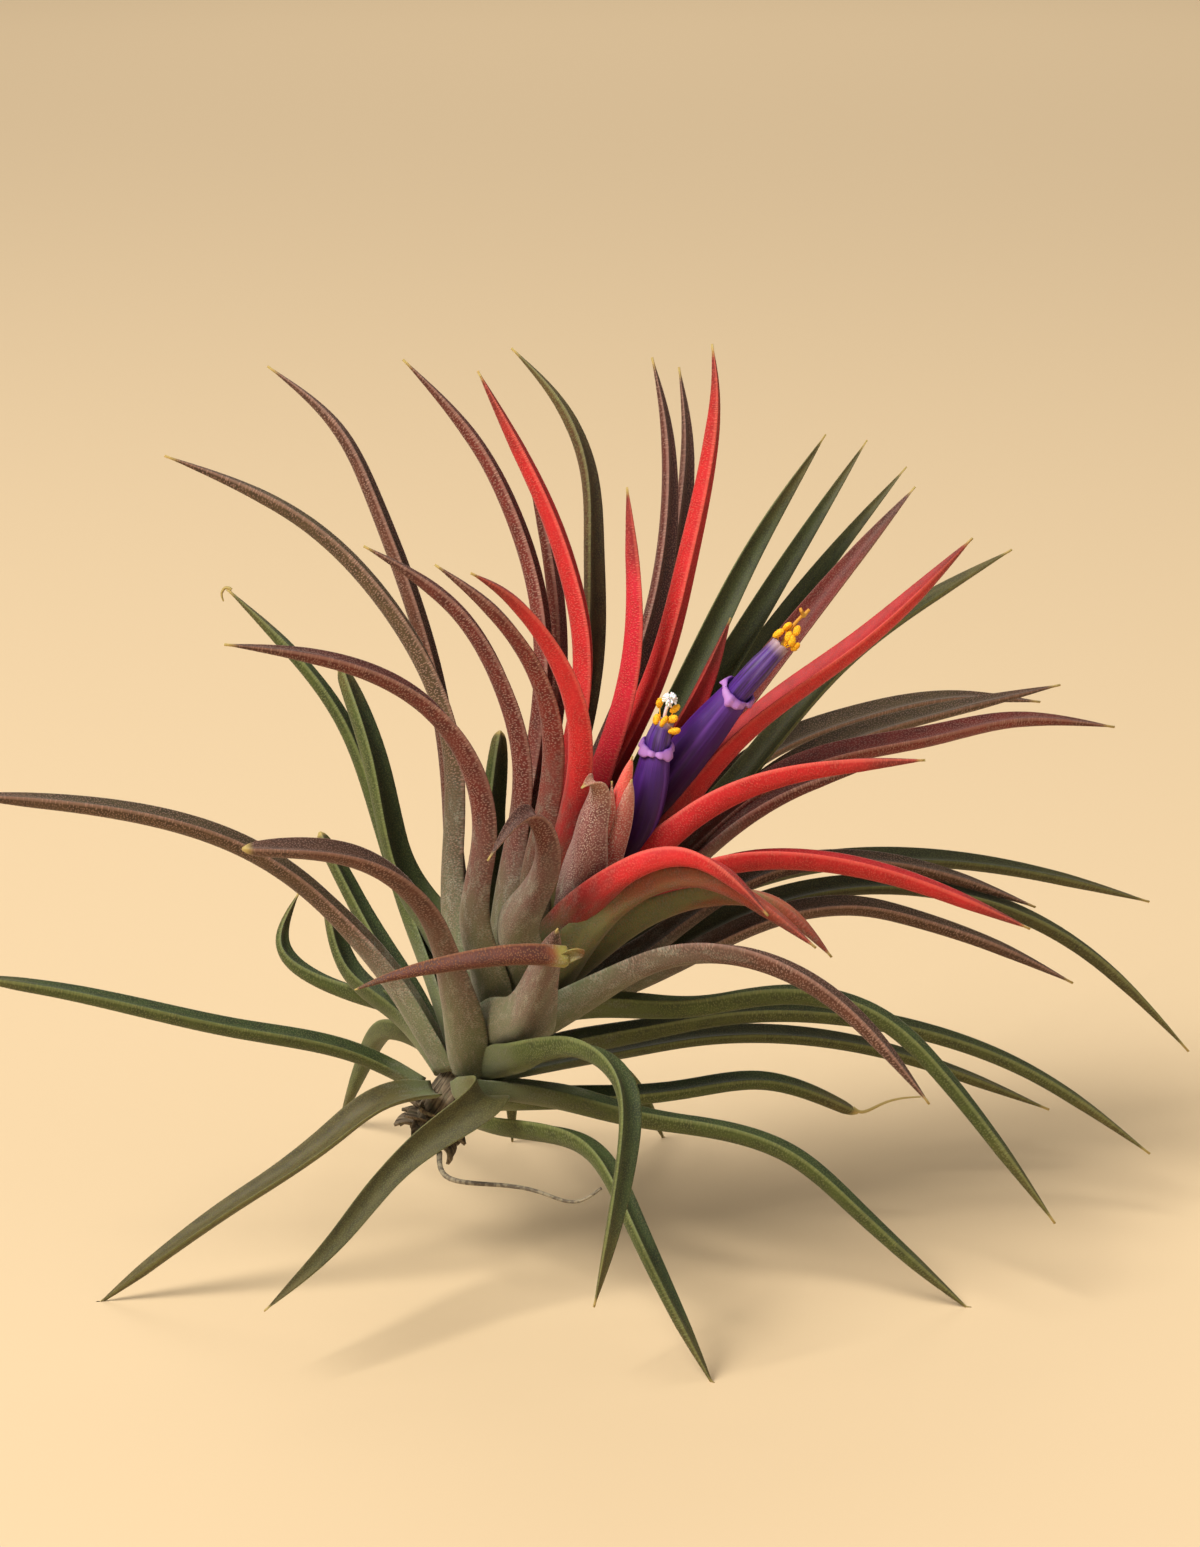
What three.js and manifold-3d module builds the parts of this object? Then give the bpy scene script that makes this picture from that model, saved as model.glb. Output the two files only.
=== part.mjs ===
// A flowering air plant, lifted from its perch and stood on a table. A short leaning stem carries a spiral
// rosette of channelled, recurved leaves: green and oldest at the foot, bronze above, red round the crown.
// Two violet tube flowers rise from pink bracts at its top, and one wiry root hangs from its foot.
// Millimetres, +Z up. The origin lies on the table, under the middle of the plant.

import * as THREE from "three";
import Manifolds from "manifold-3d";

const wasm = await Manifolds();
wasm.setup();

// Driving dimensions: the stem, then the spiral of the leaves, then a leaf
const STEM_FOOT = new THREE.Vector3(-22.6, -6.3, 23);
const STEM_LEAN = 32;
const STEM_LENGTH = 35;
const STEM_FOOT_RADIUS = 3.4;
const STEM_TOP_RADIUS = 1.7;
const LOWEST_LEAF = 1.5;
const LEAF_SPACING = 0.56;
const FIRST_TURN = 172;
const GOLDEN_TURN = 137.508;
const LOWEST_SPREAD = 78;
const HIGHEST_SPREAD = 13;
const SHEATH_REACH = 9;
const SHEATH_OPENS = 5;
const SHEATH_EXTRA = 0.9;
const SHEATHED_FROM = 6.8;
const SHEATH_CHANNEL = 0.7;
const PATH_PULL = 2.6;
const ROOT_SHARE = 0.9;
const BLADE_CHANNEL = 0.8;
const BLADE_TAPER = 4.5;
const BLUNT_TAPER = 8;
const LEAF_THICKNESS = 1.7;
const TIP_WIDTH = 0.7;
const CLEARANCE = 0.3;
const FINEST = 0.02;

const COLOURS = {
  green: "#4f6650",
  bronze: "#6f5048",
  red: "#c9333b",
  bract: "#b98a80",
  stem: "#5b4636",
  root: "#6d6254",
  corolla: "#4a1f8c",
  anthers: "#f0bf1c",
};

// The stem's own directions: along it, square to it on the side it leans to, and towards the plant's back.
const lean = THREE.MathUtils.degToRad(STEM_LEAN);
const AXIS = new THREE.Vector3(Math.sin(lean), 0, Math.cos(lean));
const DOWNHILL = new THREE.Vector3(Math.cos(lean), 0, -Math.sin(lean));
const BACKWARD = new THREE.Vector3(0, 1, 0);

// The leaves in the order of the spiral, from the foot of the stem to its top. Each has its tone, the
// width of its blade, and the points that its midrib passes, in mm from the stem's foot. A twin is a
// second leaf from the same sheath, a rests leaf stands on its tip, and a blunt leaf has lost its point.
const LEAVES = [
  { tone: "green", width: 3.6, path: [[-32, -5, 15.6], [-52, -8, 21.4], [-67, -10, 24.4]] },
  {
    tone: "green", width: 3.8, rests: true,
    path: [[22, -24, 3.6], [27.1, -33, -2.4], [38, -40, -23.6]],
  },
  { tone: "green", width: 3.8, path: [[-9, 34, 1], [-14, 48, -9], [-19, 58, -23.6]], rests: true },
  {
    tone: "green", width: 3.0, rests: true,
    path: [[-14.3, -10, 0.5], [-28.3, -12, -8.7], [-48, -13, -23.6]],
  },
  { tone: "green", width: 3.4, path: [[37, 4, 2.8], [45.9, 7, 2.7], [60.3, 10, -3.4]], blunt: true },
  {
    tone: "green", width: 3.6, blunt: true,
    path: [[-13, 18, 27], [-18, 21, 36]],
    twin: [[-14, 18, 16], [-17, 22, 25]],
  },
  {
    tone: "green", width: 3.5,
    path: [[6.9, -14, 7.6], [0.3, -20, 4.5], [-12.7, -33, -5.8], [-21.4, -43, -11.4]],
  },
  { tone: "green", width: 3.8, path: [[18, 30, 0], [26, 42, -8], [33, 52, -23.6]], rests: true },
  {
    tone: "bronze", width: 4.4,
    path: [[-9, 1, 22.6], [-26, -2, 40.1], [-43, -6, 46.8], [-67, -10, 50.2]],
  },
  {
    tone: "green", width: 4.0, rests: true,
    path: [[28, -10, 3.4], [49.6, -14, -0.7], [57.9, -15, -7.6], [74.8, -15, -23.6]],
  },
  { tone: "green", width: 3.6, path: [[-16, 22, 12], [-24.2, 26, 17], [-22, 30, 24]] },
  {
    tone: "bronze", width: 4.2, blunt: true,
    path: [[2, -13, 24], [-0.8, -20, 37.2], [-8.7, -26, 45.6], [-24, -31, 48.5]],
  },
  { tone: "green", width: 3.5, path: [[38, 16, 6.3], [64, 25, 1.3], [91, 32, -11]] },
  { tone: "green", width: 3.2, path: [[-9, 16, 40], [-13.6, 19, 52.2], [-31, 26, 71]] },
  {
    tone: "green", width: 3.8,
    path: [[12, -17, 13.9], [20, -29, 20.4], [26, -38, 18], [26, -42, 9], [22, -45, -10]],
  },
  { tone: "green", width: 3.8, path: [[6, 30, 4], [8, 42, -6], [9, 50, -23.6]], rests: true },
  {
    tone: "bronze", width: 4.0,
    path: [[2, -1, 35], [2, 1, 56], [-5.6, 3, 72.6], [-18.4, 5, 85.5], [-37, 6, 94]],
  },
  { tone: "green", width: 3.8, path: [[37, 5, 12.7], [66, 12, 9.4], [84.7, 14, 2.1], [104, 16, -12]] },
  {
    tone: "green", width: 5.0, blunt: true,
    path: [[-5.2, 10, 32], [-9.3, 13, 48.5], [-14.4, 20, 61.2]],
  },
  {
    tone: "bronze", width: 4.4,
    path: [[10, -15, 20], [15, -22, 30], [19, -29, 34], [11, -33, 33.5], [-9, -34, 30.5]],
  },
  {
    tone: "green", width: 3.8,
    path: [[46, 14, 27], [77.9, 24, 25.1], [95.8, 29, 14.9], [112, 33, -2]],
  },
  {
    tone: "bronze", width: 3.9,
    path: [[0.9, 15, 51.3], [-3.8, 18, 71], [-9.1, 20.5, 85.1], [-14.1, 23, 94.7], [-24.5, 27, 103.2]],
  },
  {
    tone: "bronze", width: 4.8,
    path: [[28, -15, 27], [40, -21, 31.1], [52, -25, 27.5], [67, -28, 12]],
  },
  {
    tone: "green", width: 4.2,
    path: [[41.9, 20, 57.7], [54, 30, 71.7], [67.7, 38, 86.7]],
    twin: [[36.3, 17, 54.7], [49.2, 26, 73.7], [61.4, 32, 91.7]],
  },
  {
    tone: "bronze", width: 4.2,
    path: [[5, -12, 33], [7, -15, 46.4], [1.8, -18, 62.7], [-10.1, -22, 71.1], [-26, -27, 75]],
  },
  {
    tone: "bronze", width: 4.0,
    path: [
      [37, 4, 23.4], [47.9, 9.5, 26.6], [60.3, 14, 26.8],
      [68.6, 17, 24.1], [80.3, 19.5, 19.3], [92.7, 23, 12.2],
    ],
    twin: [[47, 14, 32], [66, 20, 31.5], [87.3, 27, 22.7]],
  },
  { tone: "green", width: 4.4, path: [[7.6, 11, 44], [8.6, 14, 53]], blunt: true },
  {
    tone: "red", width: 4.6,
    path: [[28.2, -15, 38], [36.3, -18.5, 40.9], [43.6, -21, 38.3], [51.7, -24, 32.7]],
  },
  {
    tone: "green", width: 3.8,
    path: [[46, 22, 28.7], [71.5, 32, 28.7], [87.1, 37, 25.3], [107, 45, 18]],
  },
  {
    tone: "bronze", width: 4.1,
    path: [[12.2, -4, 53], [9.2, -5, 65.3], [3.3, -6, 75.2], [-9, -7, 84]],
  },
  {
    tone: "green", width: 4.2,
    path: [
      [35.6, -9, 19.4], [49, -11.5, 22.1], [61.6, -13, 19],
      [70.2, -14.5, 11.2], [78.1, -16, 1.3], [85.9, -17, -9.6],
    ],
  },
  {
    tone: "green", width: 4.0,
    path: [[21.7, 17, 65.5], [21.8, 20, 78.3], [21.1, 24, 88.8], [17.5, 28, 97.2], [10.1, 33, 104.9]],
  },
  {
    tone: "bronze", width: 4.6,
    path: [[11, -15, 33], [15.5, -19.5, 44], [13.5, -23, 51], [8, -28, 46]],
  },
  {
    tone: "bronze", width: 4.2,
    path: [[51.3, 14, 48.5], [69.1, 22, 53], [90, 28, 56.3]],
    twin: [[47.5, 24, 47.5], [59.4, 29, 51], [74.7, 36, 52.4], [88.9, 42, 50.3]],
  },
  {
    tone: "bronze", width: 3.9,
    path: [[15, 6.5, 66.2], [14.3, 8, 73.3], [10.8, 10.5, 85], [5.8, 12.5, 94.5], [-4.5, 14, 106.1]],
    twin: [[16.6, 9.5, 58.6], [16.8, 12.5, 70.3], [15.3, 15.5, 80.9], [12.3, 18, 92]],
  },
  {
    tone: "red", width: 4.8,
    path: [[29, -11, 33.1], [39.1, -14.5, 37.3], [45.6, -17, 37.1], [54.1, -20, 30.1]],
  },
  { tone: "green", width: 4.2, path: [[34.8, 15, 58.8], [44.6, 20, 78], [54.9, 24, 93.9]] },
  {
    tone: "bronze", width: 4.0,
    path: [
      [16.1, -9, 60.8], [14.4, -10.5, 67.2], [11.4, -12.5, 73],
      [7.6, -14.5, 77.8], [1, -16, 83.3],
    ],
  },
  { tone: "bronze", width: 3.8, path: [[42, 1, 43], [51, 2, 48], [61, 3, 50.8]] },
  {
    tone: "bronze", width: 3.9,
    path: [[30.9, 15, 72.1], [32.6, 20, 84.3], [32.1, 24, 96], [30.2, 26, 104.6]],
    twin: [[32.7, 21, 72.2], [34.9, 27, 83.9], [35.3, 31, 93.3], [34.2, 34, 102]],
  },
  {
    tone: "red", width: 4.2,
    path: [[28.2, -18, 42.3], [34.8, -20.5, 44.3], [40.1, -23, 42.3], [45.2, -25, 37.5]],
  },
  { tone: "green", width: 4.0, path: [[43, 13, 46.4], [57.8, 19, 62.1], [70.7, 22, 71], [82, 25, 77]] },
  {
    tone: "red", width: 4.8,
    path: [
      [20.6, 4, 63.1], [20.3, 5, 70.3], [19.2, 6, 75.6],
      [15.6, 8, 86.2], [10.2, 9.5, 97.2], [6, 10, 105.1],
    ],
  },
  {
    tone: "red", width: 5.0,
    path: [[38, -5, 38.2], [50.4, -6, 39.9], [64.3, -6, 37.2], [82.5, -6, 29.7]],
  },
  { tone: "red", width: 4.2, path: [[36, 5, 59], [41, 7, 71]] },
  {
    tone: "red", width: 4.2,
    path: [[19.4, -12, 63.2], [15.9, -14, 72.3], [9.7, -18, 80.3], [5.9, -20.5, 83.1]],
  },
  {
    tone: "bronze", width: 4.6,
    path: [[50.9, 6, 49.7], [69.5, 11, 52.9], [82.5, 17, 53.9], [97, 20, 52]],
  },
  {
    tone: "red", width: 5.0,
    path: [[31.1, 3, 65.2], [34.9, 4, 79.7], [37.8, 5, 93.6], [38.6, 5.5, 104.5], [38.1, 6, 109.4]],
  },
  { tone: "red", width: 4.6, path: [[37, -7, 47], [47, -8, 52], [67, -10, 55]] },
  { tone: "bronze", width: 4.5, path: [[42, 8, 58], [54, 11, 73], [67, 15, 88]] },
  {
    tone: "red", width: 4.4,
    path: [[26.4, -2, 62.7], [27.6, -2, 71.3], [27.3, -1, 82.9], [26.5, -1, 90.9]],
  },
  {
    tone: "red", width: 5.5,
    path: [[33, 0.6, 44.2], [43.7, 0.8, 57.3], [57.4, 3, 67.3], [74.3, 6, 82.5]],
  },
];

// The bracts that cup the flowers: two broad pale leaves near the top of the stem, the second one split.
const BRACTS = [
  { name: "bract_left", rise: 29, turn: -112, width: 5.2, path: [[18, -12, 42], [21.3, -14.5, 53.5]] },
  { name: "bract_right", rise: 31, turn: -66, width: 4.4, path: [[25, -11, 46], [27.5, -11, 56]] },
];

// Each flower: the points on the middle of its tube, from its seat to its mouth, the top of the column of
// filaments that stands out of it, and the tube's fullest and mouth radius.
const FLOWERS = [
  {
    name: "short",
    path: [[20, -3, 33], [28, -6.2, 45], [30.6, -7, 56.4]],
    column: [31.5, -7, 59.5],
    fullest: 2.4,
    mouth: 2.1,
  },
  {
    name: "long",
    path: [[22, 0, 33], [31, -0.7, 48], [41.7, -4, 63]],
    column: [47.4, -4, 69.6],
    fullest: 2.9,
    mouth: 2,
  },
];

const ROOT_RADIUS = 0.45;
const ROOT_STEPS = 16;
const ROOT_SIDES = 5;
const ROOT_PATH = [
  [0, -3, -4.6], [2, -12, -5], [9.6, -16, -4.4], [15, -18, -4.8], [19.5, -19, -5.6], [23, -19, -3.6],
];

const plant = new THREE.Group();

function toPoints(rows) {
  return rows.map((row) => new THREE.Vector3(...row));
}

function perpendicular(vector, to) {
  return vector.clone().addScaledVector(to, -vector.dot(to)).normalize();
}

// A springy strip through points: a cubic spline by chord length with both ends free. Its answer gives the
// place at a share of the length, from 0 at the first point to 1 at the last.
function springCurve(points) {
  const last = points.length - 1;
  const gaps = points.slice(1).map((point, i) => point.distanceTo(points[i]));
  const carry = [];
  const slopes = [];
  for (let i = 0; i <= last; i++) {
    const before = i > 0 ? 1 / gaps[i - 1] : 0;
    const after = i < last ? 1 / gaps[i] : 0;
    const slope = new THREE.Vector3();
    if (i > 0) slope.addScaledVector(points[i].clone().sub(points[i - 1]), 3 * before * before);
    if (i < last) slope.addScaledVector(points[i + 1].clone().sub(points[i]), 3 * after * after);
    let pivot = 2 * (before + after);
    if (i > 0) {
      slope.addScaledVector(slopes[i - 1], -before);
      pivot -= before * carry[i - 1];
    }
    carry.push(after / pivot);
    slopes.push(slope.divideScalar(pivot));
  }
  for (let i = last - 1; i >= 0; i--) slopes[i].addScaledVector(slopes[i + 1], -carry[i]);
  const total = gaps.reduce((sum, gap) => sum + gap, 0);
  const at = (share) => {
    let along = share * total;
    let i = 0;
    while (i < last - 1 && along > gaps[i]) {
      along -= gaps[i];
      i += 1;
    }
    const t = along / gaps[i];
    const s = 1 - t;
    return points[i].clone().multiplyScalar(s * s * (1 + 2 * t))
      .addScaledVector(points[i + 1], t * t * (3 - 2 * t))
      .addScaledVector(slopes[i], gaps[i] * s * s * t)
      .addScaledVector(slopes[i + 1], -gaps[i] * t * t * s);
  };
  const ahead = (share) => at(Math.min(share + 0.004, 1)).sub(at(Math.max(share - 0.004, 0))).normalize();
  return { at, ahead, total };
}

// A closed solid from rings of equally many vertices, each ring counter-clockwise about the way ahead.
function ringsToSolid(rings) {
  const count = rings[0].length;
  const vertices = rings.flat();
  const faces = [];
  for (let i = 0; i < rings.length - 1; i++) {
    for (let j = 0; j < count; j++) {
      const here = i * count + j;
      const next = i * count + (j + 1) % count;
      faces.push(here, next, here + count, next, next + count, here + count);
    }
  }
  const top = (rings.length - 1) * count;
  for (let j = 1; j < count - 1; j++) {
    faces.push(0, j + 1, j);
    faces.push(top, top + j, top + j + 1);
  }
  const mesh = new wasm.Mesh({
    numProp: 3,
    vertProperties: new Float32Array(vertices.flatMap((vertex) => vertex.toArray())),
    triVerts: new Uint32Array(faces),
  });
  return new wasm.Manifold(mesh);
}

function largestPiece(solid) {
  return solid.decompose().reduce((best, piece) => (piece.volume() > best.volume() ? piece : best));
}

function addPiece(name, solid, colour, roughness) {
  const mesh = solid.getMesh();
  const geometry = new THREE.BufferGeometry();
  geometry.setAttribute("position", new THREE.BufferAttribute(mesh.vertProperties, 3));
  geometry.setIndex(new THREE.BufferAttribute(mesh.triVerts, 1));
  const material = new THREE.MeshStandardMaterial({ color: colour, roughness, metalness: 0 });
  const piece = new THREE.Mesh(geometry, material);
  piece.name = name;
  piece.position.copy(STEM_FOOT);
  plant.add(piece);
}

// Where a leaf's sheath has passed into its blade, from 0 to 1.
function sheathEnd(mm) {
  return THREE.MathUtils.smoothstep(mm, SHEATH_REACH, 2.6 * SHEATH_REACH);
}

// Half the width of a leaf, mm from its root: a waist at the stem, a broad clasping sheath, then a blade
// that tapers to its tip.
function halfWidth(leaf, u, mm) {
  const opened = THREE.MathUtils.smoothstep(mm, 0, SHEATH_OPENS);
  const blade = leaf.blunt ? Math.sqrt(1 - Math.pow(u, BLUNT_TAPER)) : 1 - Math.pow(u, BLADE_TAPER);
  const clasp = SHEATH_EXTRA * Math.min(leaf.rise / SHEATHED_FROM, 1) * (1 - sheathEnd(mm));
  const share = THREE.MathUtils.lerp(ROOT_SHARE, blade + clasp, opened);
  return 0.5 * Math.max(leaf.width * share, TIP_WIDTH);
}

// A leaf's section: its channelled upper face from edge to edge, then its rounded back. Each vertex has
// its place across, as a share of the half width, and above the midrib, as shares of the channel's depth
// and of half the thickness.
const LEAF_SECTION = [
  [-1, 1, 0],
  [-0.6, 0.36, -0.9],
  [0, 0, -1],
  [0.6, 0.36, -0.9],
  [1, 1, 0],
  [0, 0, 1],
];

function stemRadiusAt(rise) {
  return THREE.MathUtils.lerp(STEM_FOOT_RADIUS, STEM_TOP_RADIUS, rise / STEM_LENGTH);
}

// A leaf leaves the stem at its turn of the spiral, between the direction that its height on the stem
// gives and the way to its first point. Its path runs along the back of its sheath, then through the middle
// of its blade's depth. Swell makes the same leaf a little fatter all round.
function leafSolid(leaf, path, swell) {
  const turn = THREE.MathUtils.degToRad(leaf.turn);
  const outward = DOWNHILL.clone().multiplyScalar(Math.cos(turn)).addScaledVector(BACKWARD, Math.sin(turn));
  const root = AXIS.clone().multiplyScalar(leaf.rise).addScaledVector(outward, stemRadiusAt(leaf.rise) + 0.8);
  const height = Math.pow(leaf.rise / STEM_LENGTH, 0.7);
  const spread = THREE.MathUtils.degToRad(THREE.MathUtils.lerp(LOWEST_SPREAD, HIGHEST_SPREAD, height));
  const points = toPoints(path);
  const sheath = AXIS.clone().multiplyScalar(Math.cos(spread))
    .addScaledVector(outward, Math.sin(spread))
    .addScaledVector(points[0].clone().sub(root).normalize(), PATH_PULL)
    .normalize().multiplyScalar(SHEATH_REACH).add(root);
  const curve = springCurve([root, sheath, ...points]);
  const rootAcross = new THREE.Vector3().crossVectors(AXIS, outward);
  const tipOutward = perpendicular(points[points.length - 1].clone().sub(root), AXIS);
  const tipAcross = new THREE.Vector3().crossVectors(AXIS, tipOutward);
  const steps = 3 * points.length + 3;
  const rings = [];
  for (let i = 0; i <= steps; i++) {
    const u = i / steps;
    const ahead = curve.ahead(u);
    const across = perpendicular(rootAcross.clone().lerp(tipAcross, u), ahead);
    const upper = new THREE.Vector3().crossVectors(ahead, across);
    const mm = u * curve.total;
    const half = halfWidth(leaf, u, mm);
    const bladed = sheathEnd(mm);
    const depth = THREE.MathUtils.lerp(SHEATH_CHANNEL, BLADE_CHANNEL, bladed);
    const sunk = 0.5 * bladed * depth * half;
    const grown = THREE.MathUtils.lerp(0.6, 1, THREE.MathUtils.smoothstep(u, 0, 0.3));
    const thinned = THREE.MathUtils.lerp(1, 0.5, THREE.MathUtils.smoothstep(u, 0.7, 1));
    const thick = 0.5 * LEAF_THICKNESS * grown * thinned + swell;
    rings.push(LEAF_SECTION.map(([side, raised, back]) => curve.at(u)
      .addScaledVector(across, side * (half + swell))
      .addScaledVector(upper, raised * depth * (half + swell) - sunk + back * thick)));
  }
  return ringsToSolid(rings);
}

function leafNode(leaf, swell) {
  const solid = leafSolid(leaf, leaf.path, swell);
  return leaf.twin ? solid.add(leafSolid(leaf, leaf.twin, swell)) : solid;
}

const placed = [];

// A piece that meets one placed before it is cut back to clear it, and keeps its largest part.
function settle(name, solid, swollen, colour, roughness) {
  let kept = solid;
  for (const other of placed) {
    if (!kept.intersect(other.solid).isEmpty()) kept = kept.subtract(other.swollen);
  }
  kept = largestPiece(kept.simplify(FINEST));
  placed.push({ solid: kept, swollen });
  addPiece(name, kept, colour, roughness);
}

const counts = { green: 0, bronze: 0, red: 0 };
LEAVES.forEach((row, rank) => {
  const leaf = { ...row, rise: LOWEST_LEAF + rank * LEAF_SPACING, turn: FIRST_TURN + rank * GOLDEN_TURN };
  counts[leaf.tone] += 1;
  const name = `leaf_${leaf.tone}_${String(counts[leaf.tone]).padStart(2, "0")}`;
  let solid = leafNode(leaf, 0);
  if (leaf.rests) solid = solid.trimByPlane([0, 0, 1], -STEM_FOOT.z);
  settle(name, solid, leafNode(leaf, CLEARANCE), COLOURS[leaf.tone], 0.7);
});

for (const bract of BRACTS) {
  const row = { ...bract, blunt: true };
  settle(bract.name, leafSolid(row, row.path, 0), leafSolid(row, row.path, CLEARANCE), COLOURS.bract, 0.7);
}

// A round ring about a curve: its radius and its lift along the curve may change with the angle.
function ringAbout(curve, share, sides, radiusAt, liftAt = () => 0) {
  const ahead = curve.ahead(share);
  const right = perpendicular(BACKWARD, ahead);
  const up = new THREE.Vector3().crossVectors(ahead, right);
  return Array.from({ length: sides }, (_, j) => {
    const angle = 2 * Math.PI * j / sides;
    return curve.at(share)
      .addScaledVector(right, radiusAt(angle) * Math.cos(angle))
      .addScaledVector(up, radiusAt(angle) * Math.sin(angle))
      .addScaledVector(ahead, liftAt(angle));
  });
}

// A corolla: three petals rolled into a tube that is fullest past its middle, with three recurved lobes
// round its mouth. The column of filaments rises from the depth of the mouth, clear of the petals.
const PETALS = 3;
const COROLLA_SIDES = 12;
const COROLLA_WALL = 0.6;
const MOUTH_DEPTH = 2;
const LOBE_FLARE = 1.5;
const LOBE_LIFT = 1.1;
const COLUMN_RADIUS = 1.4;
const TUBE_PROFILE = [[0, 0.3], [0.1, 0.45], [0.25, 0.62], [0.45, 0.86], [0.65, 1], [0.82, 0.93]];
const COLUMN_PROFILE = [[0, 1], [0.4, 1], [0.7, 0.9], [1, 0.7]];

function columnCurve(flower, tube) {
  const mouth = tube.at(1);
  const foot = mouth.clone().addScaledVector(tube.ahead(1), -MOUTH_DEPTH);
  return springCurve([foot, mouth, new THREE.Vector3(...flower.column)]);
}

function corollaSolid(flower, tube, column) {
  const lobe = (angle) => Math.pow(Math.abs(Math.cos(0.5 * PETALS * angle)), 0.8);
  const ring = (radius, flare, low, lift) => ringAbout(
    tube, 1, COROLLA_SIDES,
    (angle) => radius + flare * lobe(angle),
    (angle) => low + lift * lobe(angle),
  );
  const bore = flower.mouth - COROLLA_WALL;
  const outside = TUBE_PROFILE.map(([share, fullness]) =>
    ringAbout(tube, share, COROLLA_SIDES, () => flower.fullest * fullness));
  const inside = COLUMN_PROFILE.map(([share, fullness]) =>
    ringAbout(column, share, COROLLA_SIDES, () => COLUMN_RADIUS * fullness));
  return ringsToSolid([
    ...outside,
    ring(flower.mouth, 0, -1, 0),
    ring(flower.mouth, 0.6 * LOBE_FLARE, 0, 0.2),
    ring(flower.mouth, LOBE_FLARE, -0.3, LOBE_LIFT),
    ring(flower.mouth, 0.5 * LOBE_FLARE, 0.3, LOBE_LIFT),
    ring(bore, 0, 0, 0),
    ring(bore, 0, -MOUTH_DEPTH, 0),
    ...inside,
  ]);
}

// The anthers: six in a bunch round the style, every other one higher, and the stigma that tops them. Each
// row of the profile has its share of the style's length, the style's radius and how far the anthers swell.
const ANTHERS = 6;
const ANTHER_STAGGER = 0.4;
const STYLE_LENGTH = 4.8;
const BUNCH_PROFILE = [
  [0, 0.5, 0],
  [0.1, 0.5, 0.5],
  [0.28, 0.5, 1.1],
  [0.5, 0.5, 1],
  [0.62, 0.5, 0.3],
  [0.7, 0.4, 0],
  [0.85, 0.75, 0],
  [1, 0.4, 0],
];

function anthersSolid(column) {
  const ahead = column.ahead(1);
  const foot = column.at(1).addScaledVector(ahead, CLEARANCE);
  const style = springCurve([foot, foot.clone().addScaledVector(ahead, STYLE_LENGTH)]);
  return ringsToSolid(BUNCH_PROFILE.map(([share, core, swelling]) => ringAbout(
    style, share, 3 * ANTHERS,
    (angle) => core + swelling * (0.55 + 0.45 * Math.cos(ANTHERS * angle)),
    (angle) => swelling * ANTHER_STAGGER * Math.cos(0.5 * ANTHERS * angle),
  )));
}

for (const flower of FLOWERS) {
  const tube = springCurve(toPoints(flower.path));
  const column = columnCurve(flower, tube);
  const corolla = corollaSolid(flower, tube, column);
  settle(`corolla_${flower.name}`, corolla, corolla, COLOURS.corolla, 0.5);
  const anthers = anthersSolid(column);
  settle(`anthers_${flower.name}`, anthers, anthers, COLOURS.anthers, 0.6);
}

// A short tapering stub between two points.
const SPINDLE_SIDES = 5;
const SPINDLE_PROFILE = [[0, 0.35], [0.25, 0.9], [0.6, 1], [1, 0.4]];

function spindle(from, to, radius) {
  const curve = springCurve([from, to]);
  return ringsToSolid(SPINDLE_PROFILE.map(([share, fullness]) =>
    ringAbout(curve, share, SPINDLE_SIDES, () => radius * fullness)));
}

// The stem: a woody stub below its foot, then a taper that the leaves hide, with the stubs of dead leaves.
const STEM_SIDES = 10;
const STEM_PROFILE = [[-4.5, 0.45], [-3.6, 0.8], [-1, 1], [0, 1]];
const DEAD_LEAVES = 5;
const DEAD_LEAF_LENGTH = 6;
const DEAD_LEAF_RADIUS = 0.9;

function stemSolid() {
  const line = springCurve([AXIS.clone().multiplyScalar(-5), AXIS.clone().multiplyScalar(STEM_LENGTH)]);
  const shareAt = (rise) => (rise + 5) / (STEM_LENGTH + 5);
  const rings = STEM_PROFILE.map(([rise, fullness]) =>
    ringAbout(line, shareAt(rise), STEM_SIDES, () => STEM_FOOT_RADIUS * fullness));
  rings.push(ringAbout(line, shareAt(STEM_LENGTH - 1), STEM_SIDES, () => STEM_TOP_RADIUS));
  rings.push(ringAbout(line, 1, STEM_SIDES, () => 0.6 * STEM_TOP_RADIUS));
  let solid = ringsToSolid(rings);
  for (let i = 0; i < DEAD_LEAVES; i++) {
    const turn = THREE.MathUtils.degToRad(i * GOLDEN_TURN);
    const side = DOWNHILL.clone().multiplyScalar(Math.cos(turn)).addScaledVector(BACKWARD, Math.sin(turn));
    const foot = AXIS.clone().multiplyScalar(-2.5).addScaledVector(side, 2);
    const tip = foot.clone()
      .addScaledVector(side, 0.6 * DEAD_LEAF_LENGTH)
      .addScaledVector(AXIS, -0.5 * DEAD_LEAF_LENGTH);
    solid = solid.add(spindle(foot, tip, DEAD_LEAF_RADIUS));
  }
  return solid;
}

settle("stem", stemSolid(), null, COLOURS.stem, 0.9);

// The one wiry root, which trails forward from under the foot.
function rootSolid() {
  const curve = springCurve(toPoints(ROOT_PATH));
  const rings = [];
  for (let i = 0; i <= ROOT_STEPS; i++) {
    rings.push(ringAbout(curve, i / ROOT_STEPS, ROOT_SIDES, () => ROOT_RADIUS));
  }
  return ringsToSolid(rings);
}

settle("root", rootSolid(), null, COLOURS.root, 0.9);

export default plant;
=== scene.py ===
"""The sky plant, dressed: a small flowering air plant that stands on the tips of its lowest leaves."""
import math

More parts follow.
